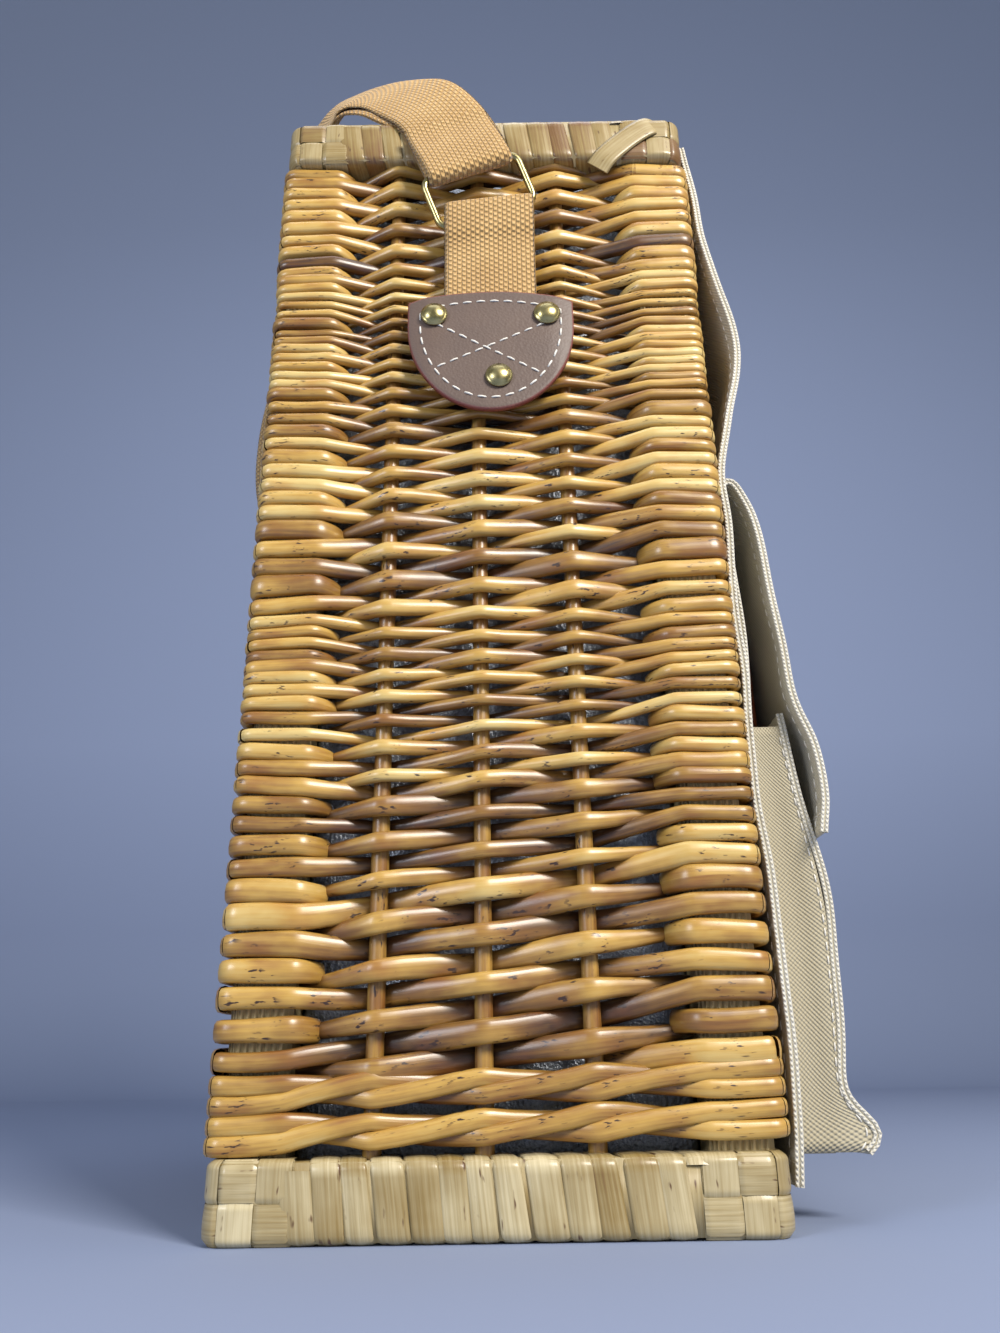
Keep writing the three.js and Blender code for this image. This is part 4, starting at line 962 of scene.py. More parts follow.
# Slanting tie of skein: rows of out from the rim's face, Y, and up from the rim's top
TIE_ROUTE = [
    (-1.5, -49, -28), (0.3, -53, -23), (0.7, -61, -15),
    (0.6, -68, -9), (0, -73, -5.5), (-2.5, -77, -3.5),
]
TIE_WIDTH = 11


def rounded_loop(half_x, half_y, radius, corner_steps, steps):
    """Even points round a rectangle with round corners."""
    quarter = np.linspace(0, np.pi / 2, corner_steps)
    corners = []
    for turn, (a, b) in enumerate([(1, 1), (-1, 1), (-1, -1), (1, -1)]):
        angle = quarter + turn * np.pi / 2
        centre = np.array([a * (half_x - radius), b * (half_y - radius)])
        corners.append(centre + radius * np.stack([np.cos(angle), np.sin(angle)], axis=1))
    loop = np.vstack(corners)
    return even(np.vstack([loop, loop[:1]]), steps + 1)[:-1]


def on_rail(rail, places, outward, upward):
    """Points of a rail, given as along Y or not, its side and its middle's height, from places along it and
    distances out and up from its middle."""
    is_along_y, side, middle = rail
    out = side * ((RAIL_SIDE if is_along_y else RAIL_DEPTH) - RAIL_THICK / 2 + outward)
    across = (out, places) if is_along_y else (places, out)
    return np.stack([*across, middle + upward], axis=-1)


def wound_skein(work, rail, reach, seed, shade):
    """Adds one strip of skein wound as a helix along a rail. Its face is a little crowned across the strip:
    sunk by a table of shares of its thickness, and its edges drop to the wood."""
    turns = int(round(2 * reach / (sizes().skein_width / MM)))
    section = rounded_loop(RAIL_THICK / 2, RAIL_HIGH / 2, RAIL_ROUND, RAIL_STEPS, WRAP_STEPS)
    steps = turns * WRAP_STEPS + 1
    turn = np.arange(steps) / WRAP_STEPS
    sink = SUNK_SHARES * SKEIN_THICK
    draw = np.random.default_rng(seed)
    widths = draw.uniform(0.78, 1.22, turns + 1)
    widths *= 2 * reach / widths[:-1].sum()
    edges = np.concatenate([[0], np.cumsum(widths[:-1])]) - reach
    spot = section[np.arange(steps) % WRAP_STEPS]
    inward = -unit(np.roll(section, -1, axis=0) - np.roll(section, 1, axis=0))[:, ::-1] * [1, -1]
    inward = inward[np.arange(steps) % WRAP_STEPS]
    walk = np.interp(turn, np.arange(turns + 1), edges)
    wide = np.interp(turn, np.arange(turns + 1), widths)
    places = walk[:, None] + SKEIN_SHARES * wide[:, None] * COVER_SHARE
    loop = spot[:, None] + inward[:, None] * sink[:, None]
    tones = shade + draw.uniform(0.1, 0.6, turns + 2)[turn.astype(int)]
    grid = on_rail(rail, places, loop[..., 0], loop[..., 1])
    work.add(grid, np.broadcast_to(tones[None, :, None], (1, *places.shape)))


def corner_outline(length, count):
    """Outer plan of a rim's corner, from the side face round to the end face, with its outward directions."""
    radius = RIM_CORNER
    straight = RAIL_DEPTH - radius - PLAIT_START
    bend = radius * np.pi / 2
    walk = np.linspace(0, length, count)
    angle = np.clip((walk - straight) / radius, 0, np.pi / 2)
    past = np.maximum(walk - straight - bend, 0)
    x = RAIL_SIDE - radius + radius * np.cos(angle) - past
    y = PLAIT_START + np.minimum(walk, straight) + radius * np.sin(angle)
    return np.stack([x, y], axis=1), np.stack([np.cos(angle), np.sin(angle)], axis=1), walk


def plaited_corner(work, side, end, low, seed, shade):
    """Adds a rim's corner in plain weave: level strips round the corner, and upright strips over its edges. A
    strip is sunk by 1 + s or 1 - s, where s is a cosine along it, made steep and cut off at -1 and 1."""
    high = RAIL_HIGH
    draw = np.random.default_rng(seed)
    outline, outward, walk = corner_outline(PLAIT_COLUMNS * PLAIT_CELL, 120)
    strip = np.linspace(-0.5, 0.5, 7)
    edge = PLAIT_SHARES * SKEIN_THICK

    def add_strip(plan, height, shade):
        """Adds a strip from its places seen from above and its heights over the rim's foot."""
        height = np.broadcast_to(height, plan.shape[:2])[..., None]
        work.add(np.concatenate([plan * [side, end], height + low], axis=-1), shade + draw.uniform(0.15, 0.6))

    def edge_drop(height):
        """How far a strip falls back near the rim's upper and lower edge: by the square of the nearness."""
        return 1.6 * np.maximum(1 - np.minimum(height, high - height) / 2.5, 0) ** 2

    for row in range(PLAIT_ROWS):
        height = (row + 0.5 + strip * 0.96) * high / PLAIT_ROWS
        over = np.clip(3 * np.cos(np.pi * (walk / PLAIT_CELL - 0.5 + row)), -1, 1)
        sink = edge[None, :] + PLAIT_SINK * (1 - over[:, None])
        deep = (sink + edge_drop(height))[..., None]
        add_strip(outline[:, None] - outward[:, None] * deep, height, shade + 0.15)

    climb = np.concatenate([[0, 0], np.linspace(0, high, 40), [high, high]])
    rounding = edge_drop(climb)
    rounding[[1, -2]] = 4
    rounding[[0, -1]] = 8
    for column in range(PLAIT_COLUMNS):
        place = (column + 0.5 + strip * draw.uniform(0.84, 0.96)) * PLAIT_CELL
        spot = np.stack([np.interp(place, walk, outline[:, axis]) for axis in (0, 1)], axis=1)
        facing = unit(np.stack([np.interp(place, walk, outward[:, axis]) for axis in (0, 1)], axis=1))
        over = np.clip(3 * np.cos(np.pi * (column + climb / high * PLAIT_ROWS - 0.5)), -1, 1)
        deep = rounding if column < PLAIT_COLUMNS / 2 else np.minimum(rounding, 4)
        sink = edge[None, :] + PLAIT_SINK * (1 + over[:, None]) + deep[:, None]
        add_strip(spot[None] - facing[None] * sink[..., None], climb[:, None], shade)


def corner_tie(work, side):
    """Adds the loose end of skein that crosses a top front corner: it starts on the rim's lower edge, lies
    over the face on a slant and ends round the corner."""
    places = curve(np.array(TIE_ROUTE, float), 50)
    path = np.column_stack([-RAIL_SIDE - places[:, 0], places[:, 1], HEIGHT + places[:, 2]])
    across = np.cross(unit(np.gradient(path, axis=0)), np.tile(OUTWARD, (len(path), 1)))
    work.add(on_side(band(path, across, TIE_WIDTH, SKEIN_THICK, 9), side), round_columns=True)


def rail_core(work, side, low):
    """Adds a side rail's wood under the skein: an outline that leaves the posts' places free."""
    outer, inner = RAIL_SIDE - CORE_INSET, RAIL_SIDE - RAIL_THICK + CORE_INSET
    plate, end = POST_OUTER[0] + CORE_GAP, RAIL_DEPTH - CORE_INSET
    stop, start = POST_OUTER[1] + CORE_GAP, POST_INNER[1] - CORE_GAP
    inside = [(inner, 0), (inner, start), (plate, start), (plate, stop), (inner, stop), (inner, end)]
    corner = [(outer - inset, end - short) for inset, short in CORE_CORNER]
    outside = [(outer, 0), (outer, start), *corner, (inner, end)]
    rims = [np.array(line + [(x, -y) for x, y in line[::-1]]) for line in (inside, outside)]
    bottom = np.stack([np.column_stack([rim * [side, 1], np.zeros(len(rim))]) for rim in rims])
    bottom = bottom + [0, 0, low + CORE_INSET]
    top = bottom + [0, 0, RAIL_HIGH - 2 * CORE_INSET]
    work.add(np.stack([bottom[0], bottom[1], top[1], top[0]]), round_rows=True)


def straight_core(work, side, low):
    """Adds a front or back rail's wood under the skein."""
    half_thick, half_high = RAIL_THICK / 2 - CORE_INSET, RAIL_HIGH / 2 - CORE_INSET
    section = rounded_loop(half_thick, half_high, RAIL_ROUND - CORE_INSET, RAIL_STEPS, 24)
    reach = POST_INNER[0] - STRAIGHT_SHORT
    along = np.array([-reach, -reach, reach, reach])[:, None]
    loop = section[None] * np.array([0, 1, 1, 0])[:, None, None]
    y = side * (RAIL_DEPTH - RAIL_THICK / 2) + loop[..., 0]
    height = low + RAIL_HIGH / 2 + loop[..., 1]
    work.add(np.stack([np.broadcast_to(along, y.shape), y, height], axis=-1), round_columns=True)


def rim_parts():
    """The eight rails: wood, wound skein, and plaited corners on the side rails."""
    for level, low, shade in (("bottom", 0.0, 0.0), ("top", HEIGHT - RAIL_HIGH, TOP_SHADE)):
        middle = low + RAIL_HIGH / 2
        for side, name in SIDES:
            work = Patchwork()
            rail_core(work, side, low)
            wound_skein(work, (True, side, middle), PLAIT_START, 3 + side, shade)
            for end in (-1, 1):
                plaited_corner(work, side, end, low, 40 + 3 * side + end + int(low), shade)
            if level == "top":
                corner_tie(work, side)
            finished(work, f"{level}_rim_{name}", ["skein"], "basket", [f"{level}_rail_{name}"])
        for side, name in ((-1, "front"), (1, "back")):
            work = Patchwork()
            straight_core(work, side, low)
            wound_skein(work, (False, side, middle), POST_INNER[0] - SKEIN_SHORT, 9 + side, shade)
            finished(work, f"{level}_rim_{name}", ["skein"], "basket", [f"{level}_rail_{name}"])


# Base: half the width and height of its rods and of the sticks under them, and the rods' rise and fall
BASE_ROD, BASE_STICK = (2.6, 1.7), (2.5, 1.6)
BASE_RISE, BASE_SPACING, BASE_STICKS = 1.3, 5.4, 7
BASE_NOSE = 0.6
# Room at the base's edges: beside the first and the last rod, at the rods' ends, beyond the outer sticks and
# at the sticks' ends
BASE_FIRST, BASE_LAST, BASE_ENDS, BASE_OUTER, BASE_LAP = 3.5, 3, 2, 6, 1


def base_parts():
    """The woven base: rods along X that go over and under cross sticks."""
    low, high = node_box("base_panel")
    work = Patchwork()
    middle = (low[2] + high[2]) / 2
    across = np.arange(low[1] + BASE_FIRST, high[1] - BASE_LAST, BASE_SPACING)
    reach = POST_INNER[0] - BASE_ENDS
    sticks = np.linspace(-reach + BASE_OUTER, reach - BASE_OUTER, BASE_STICKS)
    along = np.linspace(-reach, reach, 170)
    knots = [-reach - 10, *sticks, reach + 10]
    signs = np.array([1 - 2 * (place % 2) for place in range(len(knots))])

    def add_stick(path, half_size, tone):
        """Adds one round stick, flattened a little, that ends in a nose."""
        path = with_noses(path, BASE_NOSE)
        wide, tall = (half * closing(len(path)) for half in half_size)
        work.add(tube(path, wide, tall, ROD_SIDES), tone, round_columns=True)

    for number, y in enumerate(across):
        lift = BASE_RISE * (hats(along, knots) @ (signs * (1 - 2 * (number % 2))))
        path = np.stack([along, np.full_like(along, y), middle + lift], axis=1)
        add_stick(path, BASE_ROD, 0.2 + 0.5 * (number * 0.37 % 1))
    for x in sticks:
        path = np.linspace([x, low[1] + BASE_LAP, middle], [x, high[1] - BASE_LAP, middle], 30)
        add_stick(path, BASE_STICK, 0.6)
    finished(work, "base_weave", ["willow"], "basket", ["base_panel"])


def notched_loop(half_x, half_y, notch_x, notch_y, count):
    """Even points round a rectangle whose corners are cut in squares for the posts."""
    quadrant = [(half_x, 0), (half_x, notch_y), (notch_x, notch_y), (notch_x, half_y), (0, half_y)]
    upper = quadrant + [(-x, y) for x, y in quadrant[-2::-1]]
    loop = upper + [(x, -y) for x, y in upper[-2:0:-1]]
    return even(np.array(loop + loop[:1], float), count + 1)[:-1]


# Liner: its wall, the skin of foil and the rounding of its rim
LINER_WALL = 5.0
LINER_SKIN = 0.3
LINER_ROUND = 0.4
LINER_POINTS = 420
# Room between the liner or the lid and the posts
POST_ROOM = 0.6


def liner_parts():
    """The insulated liner: a foil box with soft crinkled walls, a floor and a bound rim."""
    low, high = node_box("liner")
    half, notch, wall = high[:2], POST_INNER - POST_ROOM, LINER_WALL
    outer = notched_loop(*(half - LINER_SKIN), *notch, LINER_POINTS)
    inner = notched_loop(*(half - wall), *(notch - wall), LINER_POINTS)
    heights = np.linspace(low[2], high[2] - LINER_ROUND, 70)
    rows = [(outer * 0.02, low[2]), (outer * 0.6, low[2]), (outer * 0.99, low[2])]
    rows += [(outer, height) for height in heights[1:]]
    rows += [((outer + inner) / 2, high[2])]
    rows += [(inner, height) for height in heights[::-1] if height > low[2] + wall]
    rows += [(inner * share, low[2] + wall) for share in (0.98, 0.6, 0.02)]
    grid = np.array([np.column_stack([loop, np.full(len(loop), height)]) for loop, height in rows])
    inside = np.zeros(len(rows))
    inside[3 : len(heights) + 1] = 0.35
    inside[len(heights) + 5 : -3] = 0.45
    inward = -unit(grid * [1, 1, 0])
    crinkle = 0.6 + 0.5 * soft_noise(grid, 26, 3) + 0.3 * soft_noise(grid, 9, 4)
    grid += inward * (inside[:, None] * crinkle)[..., None]
    made = finished(Patchwork().add(grid, round_columns=True), "foil_liner", ["foil"], "basket", ["liner"])


def pad(low, high, notches, crown, edge, count=(60, 90)):
    """Grid of a flat pad: two crowned faces inside an outline with back notches. Each face stands out by
    crown (1 - a^4)(1 - b^4), less the edge's rounding."""
    u, v = np.meshgrid(np.linspace(-1, 1, count[1]), np.linspace(-1, 1, count[0]))
    round_off = np.maximum(np.abs(u), np.abs(v)) ** 14
    x = (low[0] + high[0]) / 2 + u * (high[0] - low[0]) / 2
    y = (low[1] + high[1]) / 2 + v * (high[1] - low[1]) / 2
    wide = np.abs(x) > notches[0]
    y = np.where(wide, np.minimum(y, notches[1]), y)
    half = (high[2] - low[2]) / 2
    face = half - edge * round_off - crown * (1 - (1 - u**4) * (1 - v**4))
    middle = (low[2] + high[2]) / 2
    upper = np.stack([x, y, middle + face], axis=-1)
    lower = np.stack([x, y, middle - face], axis=-1)[:, ::-1]
    ring = np.concatenate([upper, lower], axis=1)
    return np.concatenate([(ring[:1] + ring[:1, ::-1]) / 2, ring, (ring[-1:] + ring[-1:, ::-1]) / 2])


# Lid: the crown and edge rounding of its pads, the piping round its edge, and the room it leaves at the posts
LID_SWELL, FOIL_SWELL = (1.2, 1.6), (0.8, 1.5)
PIPING_INSET, PIPING_RADIUS = 1.4, 1.35
LID_CLEARANCE = 1.6
NOTCH_CLEARANCE = 1.8
LINING_INSET = 6.5
# Pull tab: short of its ends by the gap, and arched. Its seam lies on its face.
PULL_THICK, PULL_GAP, PULL_ARCH, PULL_SINK, PULL_FACE = 1.6, 0.2, 0.35, 0.1, 0.75
PULL_STITCH = (2.6, 1.2, 0.3)
HINGE_THICK = 1.2
PULL_SEAM = [[-9, 6], [9, 6], [9, 20], [-9, 20], [-9, 6]]


def lid_parts():
    """The padded lid, its piping, its foil lining, the pull tab and the hinge strip."""
    low, high = node_box("lid_panel")
    wing = POST_INNER[1] - LID_CLEARANCE
    work = Patchwork().add(pad(low, high, (POST_INNER[0] - POST_ROOM, wing), *LID_SWELL), round_columns=True)
    side, wing = high[0] - PIPING_INSET, wing - PIPING_INSET
    front, back = low[1] + PIPING_INSET, high[1] - PIPING_INSET
    notch = POST_INNER[0] - NOTCH_CLEARANCE
    plan = [(0, front), (side, front), (side, wing), (notch, wing), (notch, back), (0, back)]
    loop = plan + [(-x, y) for x, y in plan[-2:0:-1]]
    loop = even(np.array(loop + loop[:1], float), 300)[:-1]
    path = np.column_stack([loop, np.full(len(loop), (low[2] + high[2]) / 2)])
    closed = np.concatenate([path[-1:], path, path[:1]])
    piping = tube(closed, PIPING_RADIUS, PIPING_RADIUS, 8)[1:-1]
    work.add(piping, 0.35, round_rows=True, round_columns=True)
    finished(work, "lid_pad", ["canvas"], "lid", ["lid_panel"])

    low, high = node_box("lid_lining")
    notches = POST_INNER - LINING_INSET
    grid = pad(low, high, notches, *FOIL_SWELL)
    is_wing = np.abs(grid[..., 0]) > notches[0]
    grid[..., 1] = np.where(is_wing, np.maximum(grid[..., 1], -notches[1]), grid[..., 1])
    work = Patchwork().add(grid, round_columns=True)
    finished(work, "lid_foil_pad", ["foil"], "lid", ["lid_lining"])

    low, high = node_box("lid_pull_tab")
    middle = (low + high) / 2
    y = np.linspace(low[1] + PULL_GAP, high[1] - PULL_GAP, 24)
    lift = PULL_ARCH * np.sin(np.pi * (y - low[1]) / (high[1] - low[1]))
    path = np.stack([np.zeros_like(y), y, middle[2] - PULL_SINK + lift], axis=1)
    across = np.tile([1.0, 0, 0], (len(y), 1))
    work = Patchwork().add(band(path, across, high[0] - low[0], PULL_THICK), round_columns=True)
    box = np.array(PULL_SEAM) + [0, low[1]]
    seam = even(np.column_stack([box, np.full(len(box), middle[2] + PULL_FACE)]), 80)
    work.add(stitches(seam, np.tile(UPWARD, (80, 1)), *PULL_STITCH), slot=1, round_columns=True)
    finished(work, "pull_tab", ["webbing", "thread"], "lid", ["lid_pull_tab"])

    low, high = node_box("lid_hinge_strip")
    _, y, z = (low + high) / 2
    path = np.linspace([low[0], y, z], [high[0], y, z], 60)
    grid = band(path, np.tile(UPWARD, (60, 1)), high[2] - low[2], HINGE_THICK, 9)
    work = Patchwork().add(grid, round_columns=True)
    finished(work, "hinge_webbing", ["webbing"], "basket", ["lid_hinge_strip"])


# Canvas: the side profiles of the sheets that hang on the front, as [y, z] points
CLOTH_THICK = 1.2
HEM_WIDTH = 8
HEM_EXTRA = 0.9
# The pocket's bottom corners stick out
CORNER_PULL = 11
CORNER_LEVEL = 25
CORNER_REACH = 9
CORNER_WIDTH = 10
# A hem shows two folds along its edge
FOLD_APART = 0.8
FOLD_RADIUS = 0.62
# Length of a canvas stitch, the gap between two, the thread's radius and how far it stands out
CANVAS_STITCH = (3.4, 1.5, 0.24, 0.12)
APRON_LINE = [
    (-88.4, 431), (-89.4, 422), (-91.5, 407), (-94.4, 378), (-98.0, 352), (-101.6, 328), (-101.2, 312),
    (-97.0, 286), (-91.2, 262), (-90.4, 240), (-90.4, 200), (-90.4, 163), (-91.2, 110), (-92.9, 66),
    (-92.4, 34), (-90.5, 12.6),
]
POCKET_LINE = [(-109.6, 20.4), (-111.6, 31), (-113.9, 57), (-115.2, 97), (-109.6, 141), (-106.5, 167.6)]
RISER_LINE = [(-91.9, 163), (-94.0, 180), (-93.8, 210), (-92.6, 236), (-92.0, 255.6)]
FLAP_LINE = [
    (-92.3, 256.9), (-92.7, 260.6), (-94.2, 262.5), (-97.0, 261.6), (-99.6, 255.6), (-103.0, 243),
    (-107.5, 212), (-110.4, 175), (-116.4, 154), (-116.8, 136), (-114.8, 121.4),
]


def cloth_columns(half):
    """Places across a sheet, close together at its hems and even between them."""
    near = np.array([0, 0.5, 1.2, 4, HEM_WIDTH - 1, HEM_WIDTH - 0.2, HEM_WIDTH + 0.5])
    middle = np.linspace(HEM_WIDTH + 2, 2 * half - HEM_WIDTH - 2, 84)
    return np.concatenate([near, middle, 2 * half - near[::-1]]) - half


def hanging_cloth(line, half, rows, ripple, seed, hems, pinned=(0.0, 0.0)):
    """Middle grid and thickness of a sheet that follows a side profile across X. Ripples move it along its
    normal, less near its pinned ends, and hems are thicker at its side edges and at the ends that hems
    names."""
    profile = curve(np.array(line), rows)
    across = cloth_columns(half)
    grid = np.stack(np.broadcast_arrays(across[None], profile[:, :1], profile[:, 1:]), axis=-1)
    share = np.linspace(0, 1, rows)[:, None]
    freedom = step_between(share, 0, 0.12 + pinned[0]) * step_between(1 - share, 0, 0.12 + pinned[1])
    walk = walked(grid[None], 1, False)[:, None]
    places = np.stack(np.broadcast_arrays(across[None] * 0.8, walk), axis=-1)
    move = ripple * (0.7 * soft_noise(places, 75, seed) + 0.3 * soft_noise(places, 28, seed + 1))
    grid += normals_of(grid) * (move * freedom * sizes().cloth_ripple / MM)[..., None]
    edge = np.broadcast_to(half - np.abs(across), grid.shape[:2])
    if "start" in hems:
        edge = np.minimum(edge, walk)
    if "end" in hems:
        edge = np.minimum(edge, walk[-1] - walk)
    thick = CLOTH_THICK + HEM_EXTRA * (1 - step_between(edge, HEM_WIDTH - 0.6, HEM_WIDTH + 0.3))
    thick = thick * (1 - 0.55 * (1 - step_between(edge, 0, 0.8)))
    return grid, thick


def add_seam(work, line, normal, thick):
    """Adds stitches on both faces of a sheet along a line of its middle grid."""
    for face in (-1, 1):
        path = line + normal * face * (thick[:, None] / 2)
        work.add(stitches(path, normal * face, *CANVAS_STITCH), slot=1, round_columns=True)


def corner_pull(across, height, half):
    """How far a pocket's bottom corner is pulled out: a hump of the height, times one of the place across."""
    level = np.exp(-(((height - CORNER_LEVEL) / CORNER_REACH) ** 2))
    return CORNER_PULL * level * np.exp(-(((half - np.abs(across)) / CORNER_WIDTH) ** 2))


def sheet_piece(
    name, node, line, rows, ripple, seed, hems, body="basket", pinned=(0, 0), pull=False
):
    """One hanging sheet with its seams. Its bottom corners can be pulled out."""
    half = node_box(node)[1][0]
    grid, thick = hanging_cloth(line, half, rows, ripple, seed, hems, pinned)
    if pull:
        grid[..., 1] -= corner_pull(grid[..., 0], grid[..., 2], half)
    work = sheet_work(grid, thick)
    normal = normals_of(grid)
    for side in (-1, 1):
        column = int(np.argmin(np.abs(grid[0, :, 0] - side * (half - HEM_WIDTH + 1))))
        add_seam(work, grid[:, column], normal[:, column], thick[:, column])
    for column in (0, -1):
        for face in (-1, 1):
            fold = grid[:, column] + normal[:, column] * face * FOLD_APART
            # The folds get a paler tone: a painted highlight where light catches the hem's edges
            work.add(tube(fold, FOLD_RADIUS, FOLD_RADIUS, 8, (1, 0, 0)), 0.25, round_columns=True)
    walk = walked(grid[None], 1, False)
    seams = {"start": HEM_WIDTH - 1, "end": walk[-1] - HEM_WIDTH + 1}
    for end in hems:
        row = int(np.argmin(np.abs(walk - seams[end])))
        add_seam(work, grid[row], normal[row], thick[row])
    made = finished(work, name, ["canvas", "thread"], body, [node])
    return made


def apron_parts():
    """The apron that hangs from the front rim."""
    hems = ("start", "end")
    sheet_piece("apron", "front_apron", APRON_LINE, 130, 1.0, 51, hems, pinned=(0, 0.1))


# A pocket's side: rows and columns, the gap under it, how far it laps on to the apron and the pocket's front,
# its place in from the edge, and the depth of its fold
GUSSET_GRID = (44, 18)
GUSSET_GAP = 0.4
APRON_LAP, FRONT_LAP = 1.4, 1.0
GUSSET_EDGE, GUSSET_FOLD = 0.7, 1.5
GUSSET_STITCH = (3.2, 1.4, 0.32)
# Room round the pocket's bottom, along and across it
BOTTOM_ROOM = (0.5, 0.6)
TAPE_THICK = 1.3


def gusset_grid(side):
    """Middle grid of a pocket's side: level rows from the apron to the pocket's front, folded in a little."""
    low, high = node_box("pocket_gusset_left")
    half = -low[0]
    count, columns = GUSSET_GRID
    heights = np.linspace(low[2] + GUSSET_GAP, high[2], count)
    apron = curve(np.array(APRON_LINE), 300)[::-1]
    pocket = curve(np.array(POCKET_LINE), 300)
    back = np.interp(heights, apron[:, 1], apron[:, 0]) - APRON_LAP
    front = np.interp(heights, pocket[:, 1], pocket[:, 0]) + FRONT_LAP
    share = np.linspace(0, 1, columns)
    y = back[:, None] + (front - back)[:, None] * share
    fold = GUSSET_FOLD * np.sin(np.pi * share) ** 2 * np.sin(np.pi * np.linspace(0.1, 0.9, count))[:, None]
    x = low[0] + GUSSET_EDGE + fold
    y = y - corner_pull(half, heights, half)[:, None] * share**2
    return on_side(np.stack([x, y, np.broadcast_to(heights[:, None], y.shape)], axis=-1), side)


def pocket_parts():
    """The bellows pocket: front, two sides and bottom."""
    sheet_piece("pocket_panel", "pocket_front", POCKET_LINE, 56, 0.8, 61, ("end",), pull=True)
    for side, name in SIDES:
        grid = gusset_grid(side)
        work = sheet_work(grid, CLOTH_THICK, 0.56)
        normal = normals_of(grid)
        for column in (1, -2):
            for face in (-1, 1):
                outward = normal[:, column] * face
                path = grid[:, column] + outward * CLOTH_THICK / 2
                work.add(stitches(path, outward, *GUSSET_STITCH), slot=1, round_columns=True)
        nodes = [f"pocket_gusset_{name}"]
        made = finished(work, f"pocket_side_{name}", ["canvas", "thread"], "basket", nodes)
    low, high = node_box("pocket_bottom")
    room_x, room_y = BOTTOM_ROOM
    x = np.linspace(low[0] + room_x, high[0] - room_x, 70)
    y = np.linspace(low[1] + room_y, high[1] - room_y, 12)[:, None]
    grid = np.stack(np.broadcast_arrays(x, y, (low[2] + high[2]) / 2), axis=-1)
    work = sheet_work(grid, CLOTH_THICK * 0.9, 0.55)
    made = finished(work, "pocket_floor", ["canvas"], "basket", ["pocket_bottom"])


def flap_parts():
    """The flap: its inner layer on the apron, and its outer layer."""
    sheet_piece("flap_inner", "flap_riser", RISER_LINE, 40, 0.5, 71, (), pinned=(0.1, 0.2))
    made = sheet_piece("flap_outer", "pocket_flap", FLAP_LINE, 90, 0.9, 81, ("end",), None)
    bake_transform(made)


def fastener_parts():
    """The two strips of hook-and-loop tape."""
    for node, name, body in (
        ("fastener_strip_pocket", "tape_pocket", "basket"),
        ("fastener_strip_flap", "tape_flap", "flap"),
    ):
        low, high = node_box(node)
        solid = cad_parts[node].data.vertices
        corners = np.array([vertex.co for vertex in solid]) / MM
        ends = [corners[np.abs(corners[:, 2] - level) < 1.2].mean(axis=0) for level in (low[2], high[2])]
        share = np.linspace(0.02, 0.98, 12)[:, None]
        x = np.linspace(low[0], high[0], 60)
        y = ends[0][1] + (ends[1][1] - ends[0][1]) * share
        z = low[2] + (high[2] - low[2]) * share
        work = sheet_work(np.stack(np.broadcast_arrays(x, y, z), axis=-1), TAPE_THICK)
        finished(work, name, ["fastener"], body, [node])


# The board's edge, softened: rows of inset from its outline and share of its thickness from its middle
BOARD_CORNER = 18
BOARD_EDGE = [(1.6, -0.5), (0.4, -0.42), (0, -0.3), (0, 0.3), (0.4, 0.42), (1.6, 0.5)]


def board_parts():
    """The wooden board in the pocket: a round-cornered plate with softened edges, closed at each face's
    middle."""
    low, high = node_box("cheese_board")
    middle = (low + high) / 2
    half_x, half_z = (high - low)[0] / 2, (high - low)[2] / 2
    angle = np.linspace(0, TURN, 121)[:-1]
    corner_x = np.sign(np.cos(angle)) * (half_x - BOARD_CORNER)
    corner_z = np.sign(np.sin(angle)) * (half_z - BOARD_CORNER)
    face = np.tile([0, 0.5, 0], (len(angle), 1))
    rows = [-face]
    for inset, deep in BOARD_EDGE:
        x = corner_x + (BOARD_CORNER - inset) * np.cos(angle)
        z = corner_z + (BOARD_CORNER - inset) * np.sin(angle)
        rows.append(np.stack([x, np.full_like(x, deep), z], axis=1))
    grid = np.array([*rows, face]) * [1, high[1] - low[1], 1] + [0, middle[1], middle[2]]
    work = Patchwork().add(grid, round_columns=True)
    finished(work, "board", ["board"], "board", ["cheese_board"])


# Leather patch: the half-moon's outline and its seam
PATCH_LOW, PATCH_HIGH = node_box("leather_patch_left")
PATCH_MIDDLE = (PATCH_LOW[1] + PATCH_HIGH[1]) / 2
PATCH_ARCH = 4
PATCH_SHOULDER = 12
SEAM_INSET = 5.2
STITCH_LENGTH = 4.0
STITCH_GAP = 1.5
PATCH_POINTS = 120
# The patch's back and cut edge, then its face: shares of the way from its middle, the height over its face
# (for the back the depth, as a share of its thickness) and the tone.
PATCH_BACK = ((0, 1, 0.5), (1, 1, 0.9), (1, 0.5, 1.0))
PATCH_FACE = ((1, -0.06, 0.6), *[(share, 0, 0.3) for share in (0.96, 0.86, 0.7, 0.5, 0.25, 0)])
CROSS_TOP = ((21.5, 325.5), (-24.0, 325.0))
CROSS_FOOT = ((-21.9, 299.9), (21.7, 303.1))


